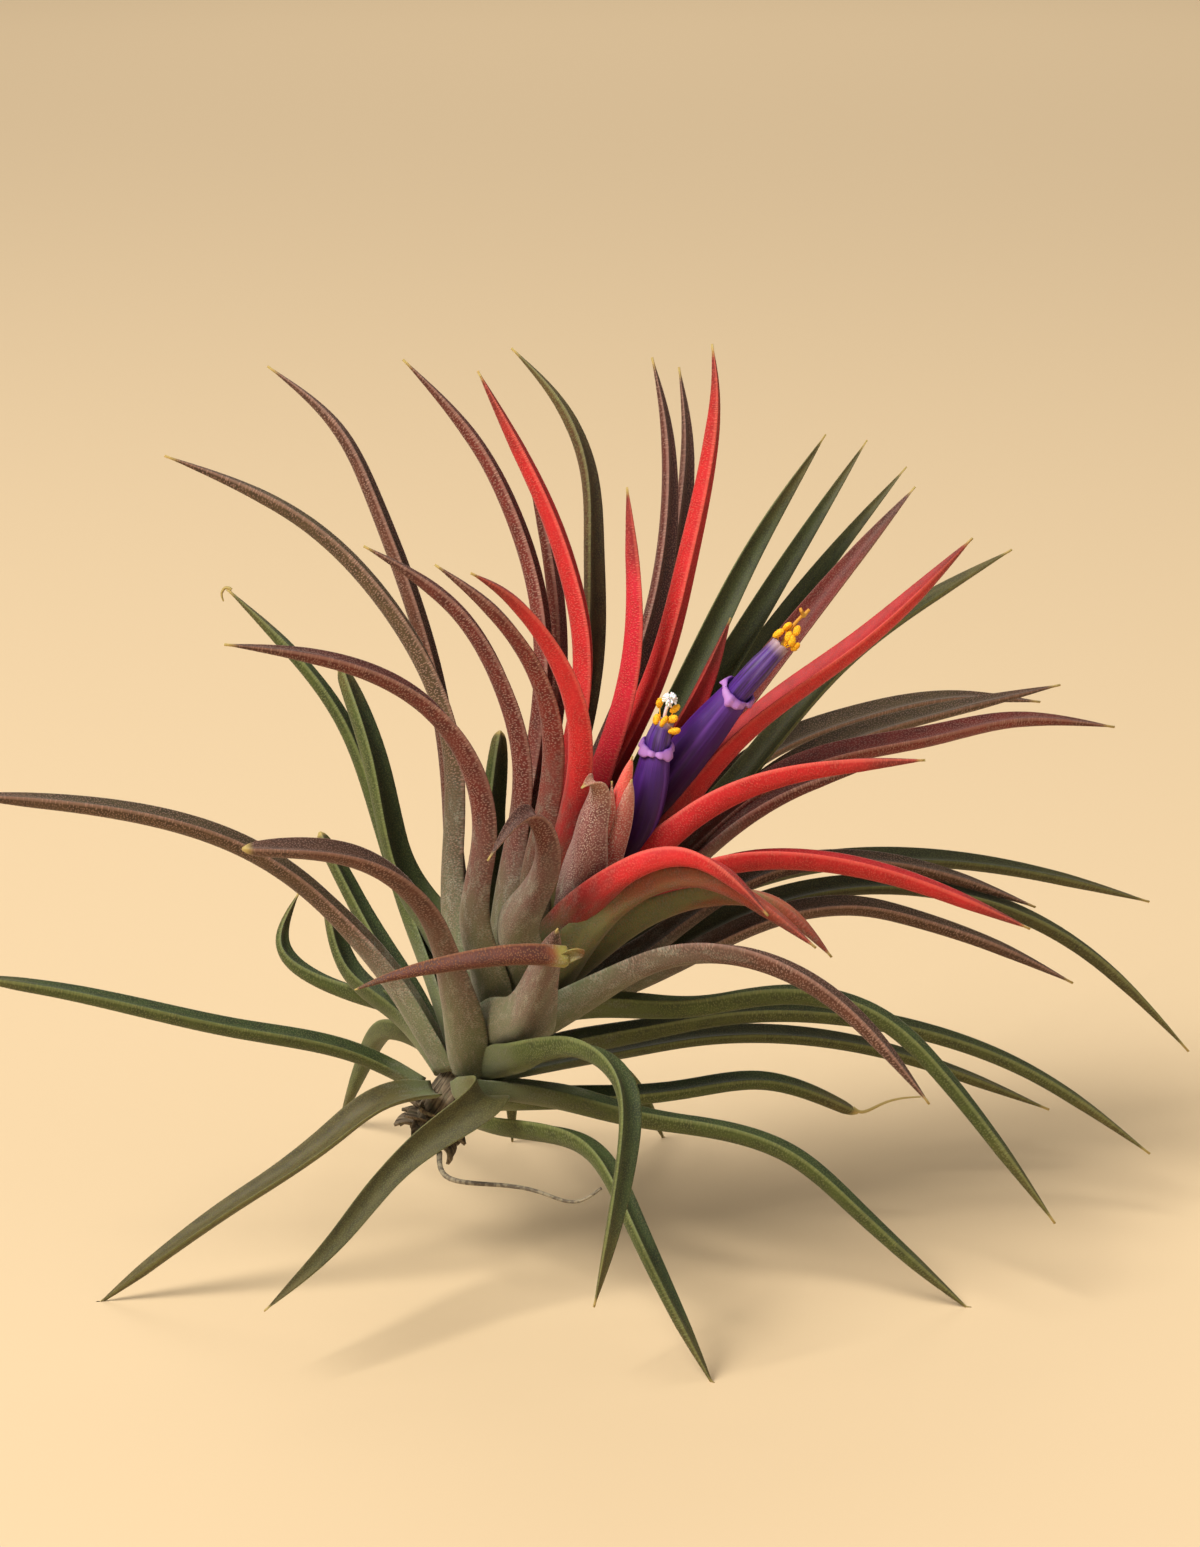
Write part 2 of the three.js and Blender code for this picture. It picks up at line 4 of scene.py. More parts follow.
import bpy
import numpy as np
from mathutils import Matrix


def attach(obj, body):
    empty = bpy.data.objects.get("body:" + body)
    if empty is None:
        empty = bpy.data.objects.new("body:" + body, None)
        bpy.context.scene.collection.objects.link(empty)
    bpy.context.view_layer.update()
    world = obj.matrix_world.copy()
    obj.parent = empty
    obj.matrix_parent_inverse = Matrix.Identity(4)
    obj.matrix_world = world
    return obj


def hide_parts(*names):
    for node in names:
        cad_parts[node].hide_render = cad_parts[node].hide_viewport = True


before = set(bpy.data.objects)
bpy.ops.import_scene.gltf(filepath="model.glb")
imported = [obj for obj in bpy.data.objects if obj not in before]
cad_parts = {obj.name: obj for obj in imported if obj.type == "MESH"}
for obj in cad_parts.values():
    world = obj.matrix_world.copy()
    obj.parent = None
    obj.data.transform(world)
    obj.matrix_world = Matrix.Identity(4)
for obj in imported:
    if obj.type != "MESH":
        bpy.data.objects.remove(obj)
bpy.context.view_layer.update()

# ---- The green leaves -------------------------------------------------------------------------------------
# The oldest leaves, at the foot and the back of the rosette. Each is a thick channelled strip that clasps
# the short stem with a broad pale sheath and arches out to a fine point. Its skin is covered in tiny silver
# scales, which drink for the plant, closest together on the sheath.

MM = 0.001
STEM_FOOT = np.array([-22.6, -6.3, 23.0])
STEM_LEAN = math.radians(32)
STEM_LENGTH = 35
STEM_FOOT_RADIUS = 3.4
STEM_TOP_RADIUS = 1.7
STEM_AXIS = np.array([math.sin(STEM_LEAN), 0, math.cos(STEM_LEAN)])
STEM_DOWNHILL = np.array([math.cos(STEM_LEAN), 0, -math.sin(STEM_LEAN)])
STEM_BACK = np.array([0.0, 1.0, 0.0])

LOWEST_LEAF = 1.5
LEAF_SPACING = 0.56
FIRST_TURN = 172
GOLDEN_TURN = 137.508
LOWEST_SPREAD = 78
HIGHEST_SPREAD = 13
SHEATH_REACH = 9
SHEATH_END = 30
SHEATH_OPENS = 5
SHEATH_EXTRA = 0.9
SHEATHED_FROM = 6.8
SHEATH_CHANNEL = 0.7
BLADE_CHANNEL = 0.8
PATH_PULL = 2.6
LOWEST_ROOT = 1.1
HIGHEST_ROOT = 1.9
BLADE_TAPER = 4.5
BLUNT_TAPER = 8
LEAF_THICKNESS = 1.5
TIP_WIDTH = 0.25
LEAF_ROWS = 84
LEAF_SIDES = 28
ROOT_CLEARANCE = 0.8
SPREAD_POWER = 0.7
CURVE_STEP = 0.004
EDGE_ROUNDING = 0.8
THREAD_RADIUS = 0.28
THREAD_TAPER = 0.4


def unit(vectors):
    """Vectors divided by their lengths."""
    return vectors / np.linalg.norm(vectors, axis=-1, keepdims=True)


def smooth(x, low, high):
    """The S-shaped step from 0 at low to 1 at high."""
    t = np.clip((np.asarray(x, float) - low) / (high - low), 0, 1)
    return t * t * (3 - 2 * t)


def spring_curve(points):
    """A springy strip through points: a cubic spline by chord length with both ends free. Returns its length
    along the chords and a function that gives its places at shares of that length."""
    points = np.asarray(points, float)
    gaps = np.linalg.norm(np.diff(points, axis=0), axis=1)
    last = len(gaps)
    pull = np.zeros((last + 1, last + 1))
    push = np.zeros((last + 1, 3))
    for i, gap in enumerate(gaps):
        ends = [i, i + 1]
        pull[np.ix_(ends, ends)] += np.array([[2, 1], [1, 2]]) / gap
        push[ends] += 3 * (points[i + 1] - points[i]) / gap ** 2
    slopes = np.linalg.solve(pull, push)
    starts = np.concatenate([[0], np.cumsum(gaps)])

    def at(share):
        along = np.asarray(share, float) * starts[-1]
        i = np.clip(np.searchsorted(starts, along, side="left") - 1, 0, last - 1)
        t = ((along - starts[i]) / gaps[i])[:, None]
        s = 1 - t
        gap = gaps[i][:, None]
        return (points[i] * s * s * (1 + 2 * t) + points[i + 1] * t * t * (3 - 2 * t)
                + slopes[i] * gap * s * s * t - slopes[i + 1] * gap * t * t * s)

    return starts[-1], at


def curve_ways(at, share):
    """The unit directions of a curve at shares of its length, from places a little behind and ahead."""
    return unit(at(np.minimum(share + CURVE_STEP, 1)) - at(np.maximum(share - CURVE_STEP, 0)))


def ring_faces(rows, sides):
    """Quads between consecutive rings of vertices, each ring running counter-clockwise about the way ahead,
    and the two flat ends that close them."""
    row, side = np.meshgrid(np.arange(rows - 1), np.arange(sides), indexing="ij")
    here = row * sides + side
    beside = row * sides + (side + 1) % sides
    quads = np.stack([here, beside, beside + sides, here + sides], -1).reshape(-1, 4).tolist()
    return quads + [list(range(sides - 1, -1, -1)), list(range((rows - 1) * sides, rows * sides))]


def ring_skin(points, marks, across_mm, along_mm):
    """A closed skin from rings of points, with its marks and its places in mm along its own surface. Marks
    that it does not name are nought."""
    shape = points.shape[:2]
    named = {mark: np.zeros(shape) for mark in ("along", "reach", "side", "upper", "flush", "fade", "own")}
    named.update(marks)
    marks = {mark: np.broadcast_to(values, shape).ravel() for mark, values in named.items()}
    uv = np.stack([np.broadcast_to(across_mm, shape), np.broadcast_to(along_mm, shape)], -1)
    return points.reshape(-1, 3), ring_faces(*shape), marks, uv.reshape(-1, 2)


def strip_skin(at, share, across, half, depth, body, marks, draw, sunk=0):
    """A channelled strip's closed skin about a curve. Across it, the middle surface rises with the square of
    the way to the edge, and the strip is thickest at its middle and rounds off to its edges. The curve runs
    above the strip's midrib by the sunk share of its depth."""
    ahead = curve_ways(at, share)
    across = unit(across - ahead * (across * ahead).sum(1, keepdims=True))
    upper = np.cross(ahead, across)
    angle = np.arange(LEAF_SIDES) * 2 * math.pi / LEAF_SIDES
    side, up = -np.cos(angle), -np.sin(angle)
    wide = half[:, None] * side
    raised = side ** 2 - np.reshape(sunk, (-1, 1))
    high = depth[:, None] * raised + body[:, None] * np.sign(up) * np.abs(up) ** EDGE_ROUNDING
    points = at(share)[:, None] + across[:, None] * wide[..., None] + upper[:, None] * high[..., None]
    marks = {mark: np.reshape(values, (-1, 1)) for mark, values in marks.items()}
    marks.update(side=side, upper=np.clip(up * 3, 0, 1), own=draw.uniform())
    length = np.concatenate([[0], np.cumsum(np.linalg.norm(np.diff(at(share), axis=0), axis=1))])
    return ring_skin(points, marks, wide + 40 * draw.uniform(), length[:, None] + 90 * draw.uniform())


def sheathed_line(rise, turn, path):
    """The line of a leaf that grows at a rise on the stem and a turn round it: out of the stem, along its
    sheath between the direction that its height gives and the way to its first point, then its points."""
    outward = STEM_DOWNHILL * math.cos(turn) + STEM_BACK * math.sin(turn)
    radius = STEM_FOOT_RADIUS + (STEM_TOP_RADIUS - STEM_FOOT_RADIUS) * rise / STEM_LENGTH
    root = STEM_AXIS * rise + outward * (radius + ROOT_CLEARANCE)
    height = (rise / STEM_LENGTH) ** SPREAD_POWER
    spread = math.radians(LOWEST_SPREAD + (HIGHEST_SPREAD - LOWEST_SPREAD) * height)
    way = STEM_AXIS * math.cos(spread) + outward * math.sin(spread)
    way = unit(way + PATH_PULL * unit(np.array(path[0]) - root))
    return [root, root + SHEATH_REACH * way, *np.array(path, float)]


def leaf_skin(rise, turn, path, width, blunt=False, seed=0, taper=BLADE_TAPER, thick=LEAF_THICKNESS, **tints):
    """A leaf's closed skin. Half its width follows a waist at the stem, a clasping sheath and a blade that
    tapers as one minus a power of the share. The sheath lies on its path, and the blade is centred on it."""
    draw = np.random.default_rng(seed)
    line = sheathed_line(rise, turn, path)
    total, at = spring_curve(line)
    u = np.linspace(0, 1, LEAF_ROWS)
    mm = u * total
    root_across = np.cross(STEM_AXIS, STEM_DOWNHILL * math.cos(turn) + STEM_BACK * math.sin(turn))
    tip_outward = line[-1] - line[0]
    tip_outward = unit(tip_outward - STEM_AXIS * (tip_outward @ STEM_AXIS))
    across = root_across + (np.cross(STEM_AXIS, tip_outward) - root_across) * u[:, None]
    sheath = 1 - smooth(mm, SHEATH_REACH, SHEATH_END)
    blade = np.sqrt(1 - u ** BLUNT_TAPER) if blunt else 1 - u ** taper
    clasp = SHEATH_EXTRA * min(rise / SHEATHED_FROM, 1) * sheath
    root = LOWEST_ROOT + (HIGHEST_ROOT - LOWEST_ROOT) * smooth(rise, 3, 8)
    opened = smooth(mm, 0, SHEATH_OPENS)
    half = 0.5 * np.maximum(width * (root + (blade + clasp - root) * opened), TIP_WIDTH)
    depth = half * (BLADE_CHANNEL + (SHEATH_CHANNEL - BLADE_CHANNEL) * sheath)
    body = 0.5 * thick * (0.6 + 0.4 * smooth(u, 0, 0.3)) * np.minimum(1, 0.12 + half / (0.28 * width))
    marks = {"along": u, "reach": mm / (0.35 + 0.65 * smooth(rise, 2, 9)), **tints}
    return strip_skin(at, u, across, half, depth, body, marks, draw, 0.5 * (1 - sheath))


def turned_frame(at, share):
    """The directions along a curve, and two across it that do not twist with it."""
    ahead = curve_ways(at, share)
    right = unit(np.cross(STEM_BACK, ahead))
    return ahead, right, np.cross(ahead, right)


def rings_about(at, share, radius, lift=0):
    """Places about a curve, one row a ring. Each ring's angles run once round, at a radius and a lift along
    the curve that may change with the angle."""
    ahead, right, up = turned_frame(at, share)
    angle = np.arange(radius.shape[1]) * 2 * math.pi / radius.shape[1]
    lift = lift + 0 * radius
    return (at(share)[:, None] + right[:, None] * (radius * np.cos(angle))[..., None]
            + up[:, None] * (radius * np.sin(angle))[..., None] + ahead[:, None] * lift[..., None])


def thread_skin(path, radius, taper=0.5, rows=40, sides=8, **marks):
    """A fine round thread through points, whose radius shrinks evenly to a share of itself."""
    total, at = spring_curve(path)
    share = np.linspace(0, 1, rows)
    around = np.repeat(radius * (1 - (1 - taper) * share)[:, None], sides, 1)
    marks = {"along": share[:, None], **marks}
    return ring_skin(rings_about(at, share, around), marks, np.arange(sides) * radius, total * share[:, None])


def join_skins(skins):
    """Several skins as one: their points, faces, marks and places one after the other."""
    faces, first = [], 0
    for points, own_faces, _, _ in skins:
        faces += [[first + corner for corner in face] for face in own_faces]
        first += len(points)
    marks = {mark: np.concatenate([skin[2][mark] for skin in skins]) for mark in skins[0][2]}
    return np.concatenate([s[0] for s in skins]), faces, marks, np.concatenate([s[3] for s in skins])


def add_piece(name, node, skins, material):
    """A smooth mesh from skins in mm from the stem's foot, which stands for a solid of the plant. What would
    reach below the table is flattened on it."""
    points, faces, marks, uv = join_skins(skins)
    points = points + STEM_FOOT
    points[:, 2] = np.maximum(points[:, 2], 0)
    mesh = bpy.data.meshes.new(name)
    mesh.from_pydata((points * MM).tolist(), [], faces)
    mesh.polygons.foreach_set("use_smooth", np.ones(len(mesh.polygons), bool))
    for mark, values in marks.items():
        layer = mesh.attributes.new(mark, "FLOAT", "POINT")
        layer.data.foreach_set("value", np.asarray(values, np.float32))
    corner = np.empty(len(mesh.loops), np.int32)
    mesh.loops.foreach_get("vertex_index", corner)
    layer = mesh.uv_layers.new(name="surface_mm")
    layer.data.foreach_set("uv", np.asarray(uv, np.float32)[corner].ravel())
    mesh.materials.append(material)
    mesh.update()
    piece = bpy.data.objects.new(name, mesh)
    bpy.context.scene.collection.objects.link(piece)
    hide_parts(node)
    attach(piece, "root")


class Wire:
    """A value in a material's node tree. Arithmetic on wires and numbers adds Math nodes."""

    def __init__(self, tree, socket):
        self.tree = tree
        self.socket = socket

    def math(self, operation, *values):
        node = self.tree.nodes.new("ShaderNodeMath")
        node.operation = operation
        for socket, value in zip(node.inputs, values):
            feed(self.tree, socket, value)
        return Wire(self.tree, node.outputs[0])

    def __add__(self, other):
        return self.math("ADD", self, other)

    def __sub__(self, other):
        return self.math("SUBTRACT", self, other)

    def __rsub__(self, other):
        return self.math("SUBTRACT", other, self)

    def __mul__(self, other):
        return self.math("MULTIPLY", self, other)

    def __truediv__(self, other):
        return self.math("DIVIDE", self, other)

    def __abs__(self):
        return self.math("ABSOLUTE", self)

    __radd__ = __add__
    __rmul__ = __mul__


def feed(tree, socket, value):
    """A wire is linked to the socket, and anything else becomes its value."""
    if isinstance(value, Wire):
        tree.links.new(value.socket, socket)
    else:
        socket.default_value = value


def paint(code):
    """A colour code, as it looks on a screen, made linear."""
    channels = [int(code[i:i + 2], 16) / 255 for i in (1, 3, 5)]
    return (*[c / 12.92 if c <= 0.04045 else ((c + 0.055) / 1.055) ** 2.4 for c in channels], 1)


class Finish:
    """A material being made. node() adds one node of any type: settings first, then its sockets."""

    def __init__(self, name, **fixed):
        self.material = bpy.data.materials.new(name)
        self.material.use_nodes = True
        self.tree = self.material.node_tree
        self.shader = self.tree.nodes["Principled BSDF"]
        for socket, value in fixed.items():
            self.shader.inputs[socket.replace("_", " ").title()].default_value = value

    def node(self, kind, settings=None, sockets=None, output=0):
        node = self.tree.nodes.new("ShaderNode" + kind)
        for setting, value in (settings or {}).items():
            setattr(node, setting, value)
        for socket, value in (sockets or {}).items():
            feed(self.tree, node.inputs[socket], value)
        return Wire(self.tree, node.outputs[output])

    def mark(self, name):
        return self.node("Attribute", {"attribute_name": name}, output=2)

    def step(self, value, low, high):
        return self.node("MapRange", {"interpolation_type": "SMOOTHSTEP"}, {0: value, 1: low, 2: high})

    def mix(self, share, first, second, blend="MIX"):
        return self.node("Mix", {"data_type": "RGBA", "blend_type": blend}, {0: share, 6: first, 7: second}, 2)

    def surface(self, across, along):
        """A place on the surface's own mm, counted in grains, with so many grains a mm across and along."""
        place = self.node("UVMap", {"uv_map": "surface_mm"})
        return self.node("VectorMath", {"operation": "MULTIPLY"}, {0: place, 1: (across, along, 1)})

    def surface_noise(self, across, along, detail=2.0, rough=0.5):
        return self.node("TexNoise", {"noise_dimensions": "2D"}, {
            "Vector": self.surface(across, along), "Scale": 1, "Detail": detail, "Roughness": rough})

    def surface_cells(self, across, along):
        """How far a place on the surface is from the middle of its cell."""
        return self.node("TexVoronoi", {"voronoi_dimensions": "2D"}, {
            "Vector": self.surface(across, along), "Scale": 1})

    def solid_noise(self, grains, detail=2.0):
        """Noise in the plant's own space, with so many grains a mm."""
        place = self.node("TexCoord", output=3)
        return self.node("TexNoise", None, {"Vector": place, "Scale": grains / MM, "Detail": detail})

    def bump(self, height, depth, strength=1.0):
        return self.node("Bump", None, {"Strength": strength, "Distance": depth * MM, "Height": height})

    def out(self, **sockets):
        for socket, value in sockets.items():
            feed(self.tree, self.shader.inputs[socket.replace("_", " ").title()], value)
        return self.material


# Grains a mm across and along the leaf: worn patches, clouds, the scales' cells and the dust among them.
PATCHES = (0.5, 0.1)
CLOUDS = (1.3, 0.4)
SCALES = (4.2, 3.2)
DUST = (6, 4.5)
# Between which shares of the sheath's reach the foot turns to sheath, and the sheath to blade.
SHEATH_SHOWS = (0.35, 0.95)
BLADE_SHOWS = (0.7, 1.3)
# Along the leaf, where the tip dries, and where it is dead.
TIP_DRIES = (0.8, 0.99)
TIP_DEAD = (0.975, 0.995)
SCALE_DEPTH = 0.07


def leaf_finish(name, foot, sheath, blade, channel_and_shade, tip, scale, silver, flushed, faded, sheath_mm=30, **fixed):
    """A leaf's skin. The foot's colour passes through the sheath's into the blade's, and the tip is dry.
    The channel is darker than the leaf's back: partly its own darker skin, partly painted shade in the hollow.
    Tiny scales cover it as a velvet of pale dots, drawn out along the blade, thinner in the channel and worn
    off in patches; on the sheath they blur to silver. The pale band along both edges is partly their fringe
    of scales, partly a painted sheen highlight."""
    skin = Finish(name, **fixed)
    reach, along, side = skin.mark("reach"), skin.mark("along"), skin.mark("side")
    upper, own = skin.mark("upper"), skin.mark("own")
    patches = skin.surface_noise(*PATCHES, 3)
    clouds = skin.surface_noise(*CLOUDS, 3)
    dots = skin.surface_cells(*SCALES)
    grain = skin.surface_noise(*DUST, 2, 0.6)
    drift = (patches - 0.5) * 0.6 + (own - 0.5) * 0.3
    risen = skin.step(reach / sheath_mm + drift, *SHEATH_SHOWS)
    bladed = skin.step(reach / sheath_mm + drift, *BLADE_SHOWS)
    colour = skin.mix(risen, paint(foot), paint(sheath))
    colour = skin.mix(bladed, colour, paint(blade))
    # The channel's colour: partly its own darker skin, partly painted shade in the hollow.
    colour = skin.mix(upper * (0.25 + 0.65 * bladed), colour, paint(channel_and_shade))
    colour = skin.mix(skin.mark("flush") * (0.3 + 0.7 * risen) * (1 - 0.4 * upper), colour, paint(flushed))
    colour = skin.mix(skin.mark("fade") * risen, colour, paint(faded))
    colour = skin.mix(skin.step(along + drift * 0.2, *TIP_DRIES) * 0.8, colour, paint(tip))
    colour = skin.mix(skin.step(clouds, 0.3, 0.8) * 0.5, colour, paint("#3c3c3c"), "SOFT_LIGHT")
    cover = skin.step(patches + (clouds - 0.5) * 0.7, 0.2, 0.7) * (1 - 0.6 * upper)
    dotted = 1 - skin.step(dots + (grain - 0.5) * 0.3, 0.1, 0.42)
    dotted = dotted * (0.35 + 0.65 * cover) * (0.7 + 0.3 * bladed)
    dusted = skin.step(grain + clouds - 0.5, 0.4, 0.85) * (1 - bladed) * 0.9
    colour = skin.mix(dotted * silver, colour, paint(scale))
    colour = skin.mix(dusted * silver * silver * 1.6, colour, paint("#c8c6b0"))
    # A pale band along both edges: partly their real fringe of scales, partly a painted sheen highlight.
    colour = skin.mix(skin.step(abs(side), 0.93, 1.0) * bladed * 0.3, colour, paint(scale))
    colour = skin.mix(skin.step(along, *TIP_DEAD), colour, paint("#b09a5a"))
    height = dotted + grain * 0.4
    scaly = skin.bump(height, SCALE_DEPTH, 0.7)
    return skin.out(base_color=colour, roughness=0.62 + dotted * 0.2, normal=scaly)


green_skin = leaf_finish(
    "green_leaf", foot="#747a56", sheath="#586238", blade="#414d18", channel_and_shade="#2b3a15", tip="#5c4f24",
    scale="#93985e", silver=0.34, flushed="#5a2a1c", faded="#66502a", sheath_mm=18, sheen_weight=0.1,
    sheen_roughness=0.4, sheen_tint=(1.0, 0.95, 0.7, 1.0), subsurface_weight=0.04, subsurface_scale=0.001)

# Each row: its rank in the spiral, its blade's width and the points that the middle of its blade passes. Then
# its twin's points, the dry thread at its tip, how far it is flushed with red or faded to an older colour, and
# how many times farther than usual its sheath's colours reach.
GREEN_LEAVES = [
    {"rank": 0, "width": 3.6, "path": [[-32, -5, 15.6], [-52, -8, 21.4], [-67, -10, 24.4]]},
    {"rank": 1, "width": 3.8, "path": [[22, -24, 3.6], [27.1, -33, -2.4], [38, -40, -23.6]]},
    {"rank": 2, "width": 3.8, "path": [[-9, 34, 1], [-14, 48, -9], [-19, 58, -23.6]]},
    {"rank": 3, "width": 3.0, "path": [[-14.3, -10, 0.5], [-28.3, -12, -8.7], [-48, -13, -23.6]],
     "fade": 0.5},
    {"rank": 4, "width": 3.4, "path": [[37, 4, 2.8], [45.9, 7, 2.7], [60.3, 10, -3.4]],
     "thread": [[59.6, 10, -2.6], [60.5, 10, -3.2], [62.2, 10, -2.8], [64.2, 10, -1.8], [66.8, 10, -1.1],
                [69.4, 10, -0.9]],
     "blunt": True},
    {"rank": 5, "width": 3.6, "path": [[-13, 18, 27], [-18, 21, 36]],
     "twin": [[-14, 18, 16], [-17, 22, 25]], "blunt": True},
    {"rank": 6, "width": 3.5,
     "path": [[6.9, -14, 7.6], [0.3, -20, 4.5], [-12.7, -33, -5.8], [-21.4, -43, -11.4]], "fade": 0.4},
    {"rank": 7, "width": 3.8, "path": [[18, 30, 0], [26, 42, -8], [33, 52, -23.6]]},
    {"rank": 9, "width": 4.0,
     "path": [[28, -10, 3.4], [49.6, -14, -0.7], [57.9, -15, -7.6], [74.8, -15, -23.6]]},
    {"rank": 10, "width": 3.6, "path": [[-16, 22, 12], [-24.2, 26, 17], [-22, 30, 24]]},
    {"rank": 12, "width": 3.5, "path": [[38, 16, 6.3], [64, 25, 1.3], [91, 32, -11]], "fade": 0.2},
    {"rank": 13, "width": 3.2, "path": [[-9, 16, 40], [-13.6, 19, 52.2], [-31, 26, 71]],
     "thread": [[-30.4, 26, 70.9], [-31.2, 26, 71.2], [-31.8, 26, 70.5], [-31.6, 26, 69.2]]},
    {"rank": 14, "width": 3.8,
     "path": [[12, -17, 13.9], [20, -29, 20.4], [26, -38, 18], [26, -42, 9], [22, -45, -10]]},
    {"rank": 15, "width": 3.8, "path": [[6, 30, 4], [8, 42, -6], [9, 50, -23.6]]},
    {"rank": 17, "width": 3.8, "path": [[37, 5, 12.7], [66, 12, 9.4], [84.7, 14, 2.1], [104, 16, -12]],
     "flush": 0.1},
    {"rank": 18, "width": 5.0, "path": [[-5.2, 10, 32], [-9.3, 13, 48.5], [-14.4, 20, 61.2]],
     "blunt": True},
    {"rank": 20, "width": 3.8, "path": [[46, 14, 27], [77.9, 24, 25.1], [95.8, 29, 14.9], [112, 33, -2]],
     "flush": 0.3},
    {"rank": 23, "width": 4.2, "path": [[41.9, 20, 57.7], [54, 30, 71.7], [67.7, 38, 86.7]],
     "twin": [[36.3, 17, 54.7], [49.2, 26, 73.7], [61.4, 32, 91.7]], "fade": 0.1},
    {"rank": 26, "width": 4.4, "path": [[7.6, 11, 44], [8.6, 14, 53]], "blunt": True},
    {"rank": 28, "width": 3.8, "path": [[46, 22, 28.7], [71.5, 32, 28.7], [87.1, 37, 25.3], [107, 45, 18]],
     "flush": 0.25},
    {"rank": 30, "width": 4.2,
     "path": [[35.6, -9, 19.4], [49, -11.5, 22.1], [61.6, -13, 19], [70.2, -14.5, 11.2], [78.1, -16, 1.3],
              [85.9, -17, -9.6]]},
    {"rank": 31, "width": 4.0,
     "path": [[21.7, 17, 65.5], [21.8, 20, 78.3], [21.1, 24, 88.8], [17.5, 28, 97.2], [10.1, 33, 104.9]],
     "flush": 0.75},
    {"rank": 36, "width": 4.2, "path": [[34.8, 15, 58.8], [44.6, 20, 78], [54.9, 24, 93.9]], "fade": 0.1},
    {"rank": 41, "width": 4.0, "path": [[43, 13, 46.4], [57.8, 19, 62.1], [70.7, 22, 71], [82, 25, 77]],
     "fade": 0.2},
]


def add_leaf(tone, place, leaf, finish):
    """One leaf's piece. Its twin has the same sheath."""
    rise = LOWEST_LEAF + leaf["rank"] * LEAF_SPACING
    turn = math.radians(FIRST_TURN + leaf["rank"] * GOLDEN_TURN)
    tints = {tint: np.full(LEAF_ROWS, leaf.get(tint, 0.0)) for tint in ("flush", "fade")}
    skins = []
    for path in [leaf["path"], leaf.get("twin")]:
        if path:
            seed = leaf["rank"] * 7 + len(skins)
            skins.append(leaf_skin(rise, turn, path, leaf["width"], leaf.get("blunt", False), seed, **tints))
            skins[-1][2]["reach"] /= leaf.get("sheathed", 1)
    if "thread" in leaf:
        skins.append(thread_skin(leaf["thread"], THREAD_RADIUS, THREAD_TAPER, along=1.0))
    node = f"leaf_{tone}_{place:02d}"
    add_piece(node + "_blade", node, skins, finish)


for place, leaf in enumerate(GREEN_LEAVES, 1):
    add_leaf("green", place, leaf, green_skin)

# ---- The bronze leaves ------------------------------------------------------------------------------------
# The next turns of the spiral, flushed brown-purple by the light while the plant flowers. Their sheaths are
# silver-grey and tinged mauve, and a close velvet of pale scales covers their blades.

bronze_skin = leaf_finish(
    "bronze_leaf", foot="#697051", sheath="#6a544c", blade="#5c2018", channel_and_shade="#3e1610", tip="#4e3022",
    scale="#c49a88", silver=0.45, flushed="#8a2018", faded="#4a4c2c", sheath_mm=32, sheen_weight=0.2,
    sheen_roughness=0.4, sheen_tint=(1.0, 0.82, 0.72, 1.0), subsurface_weight=0.05, subsurface_scale=0.001)

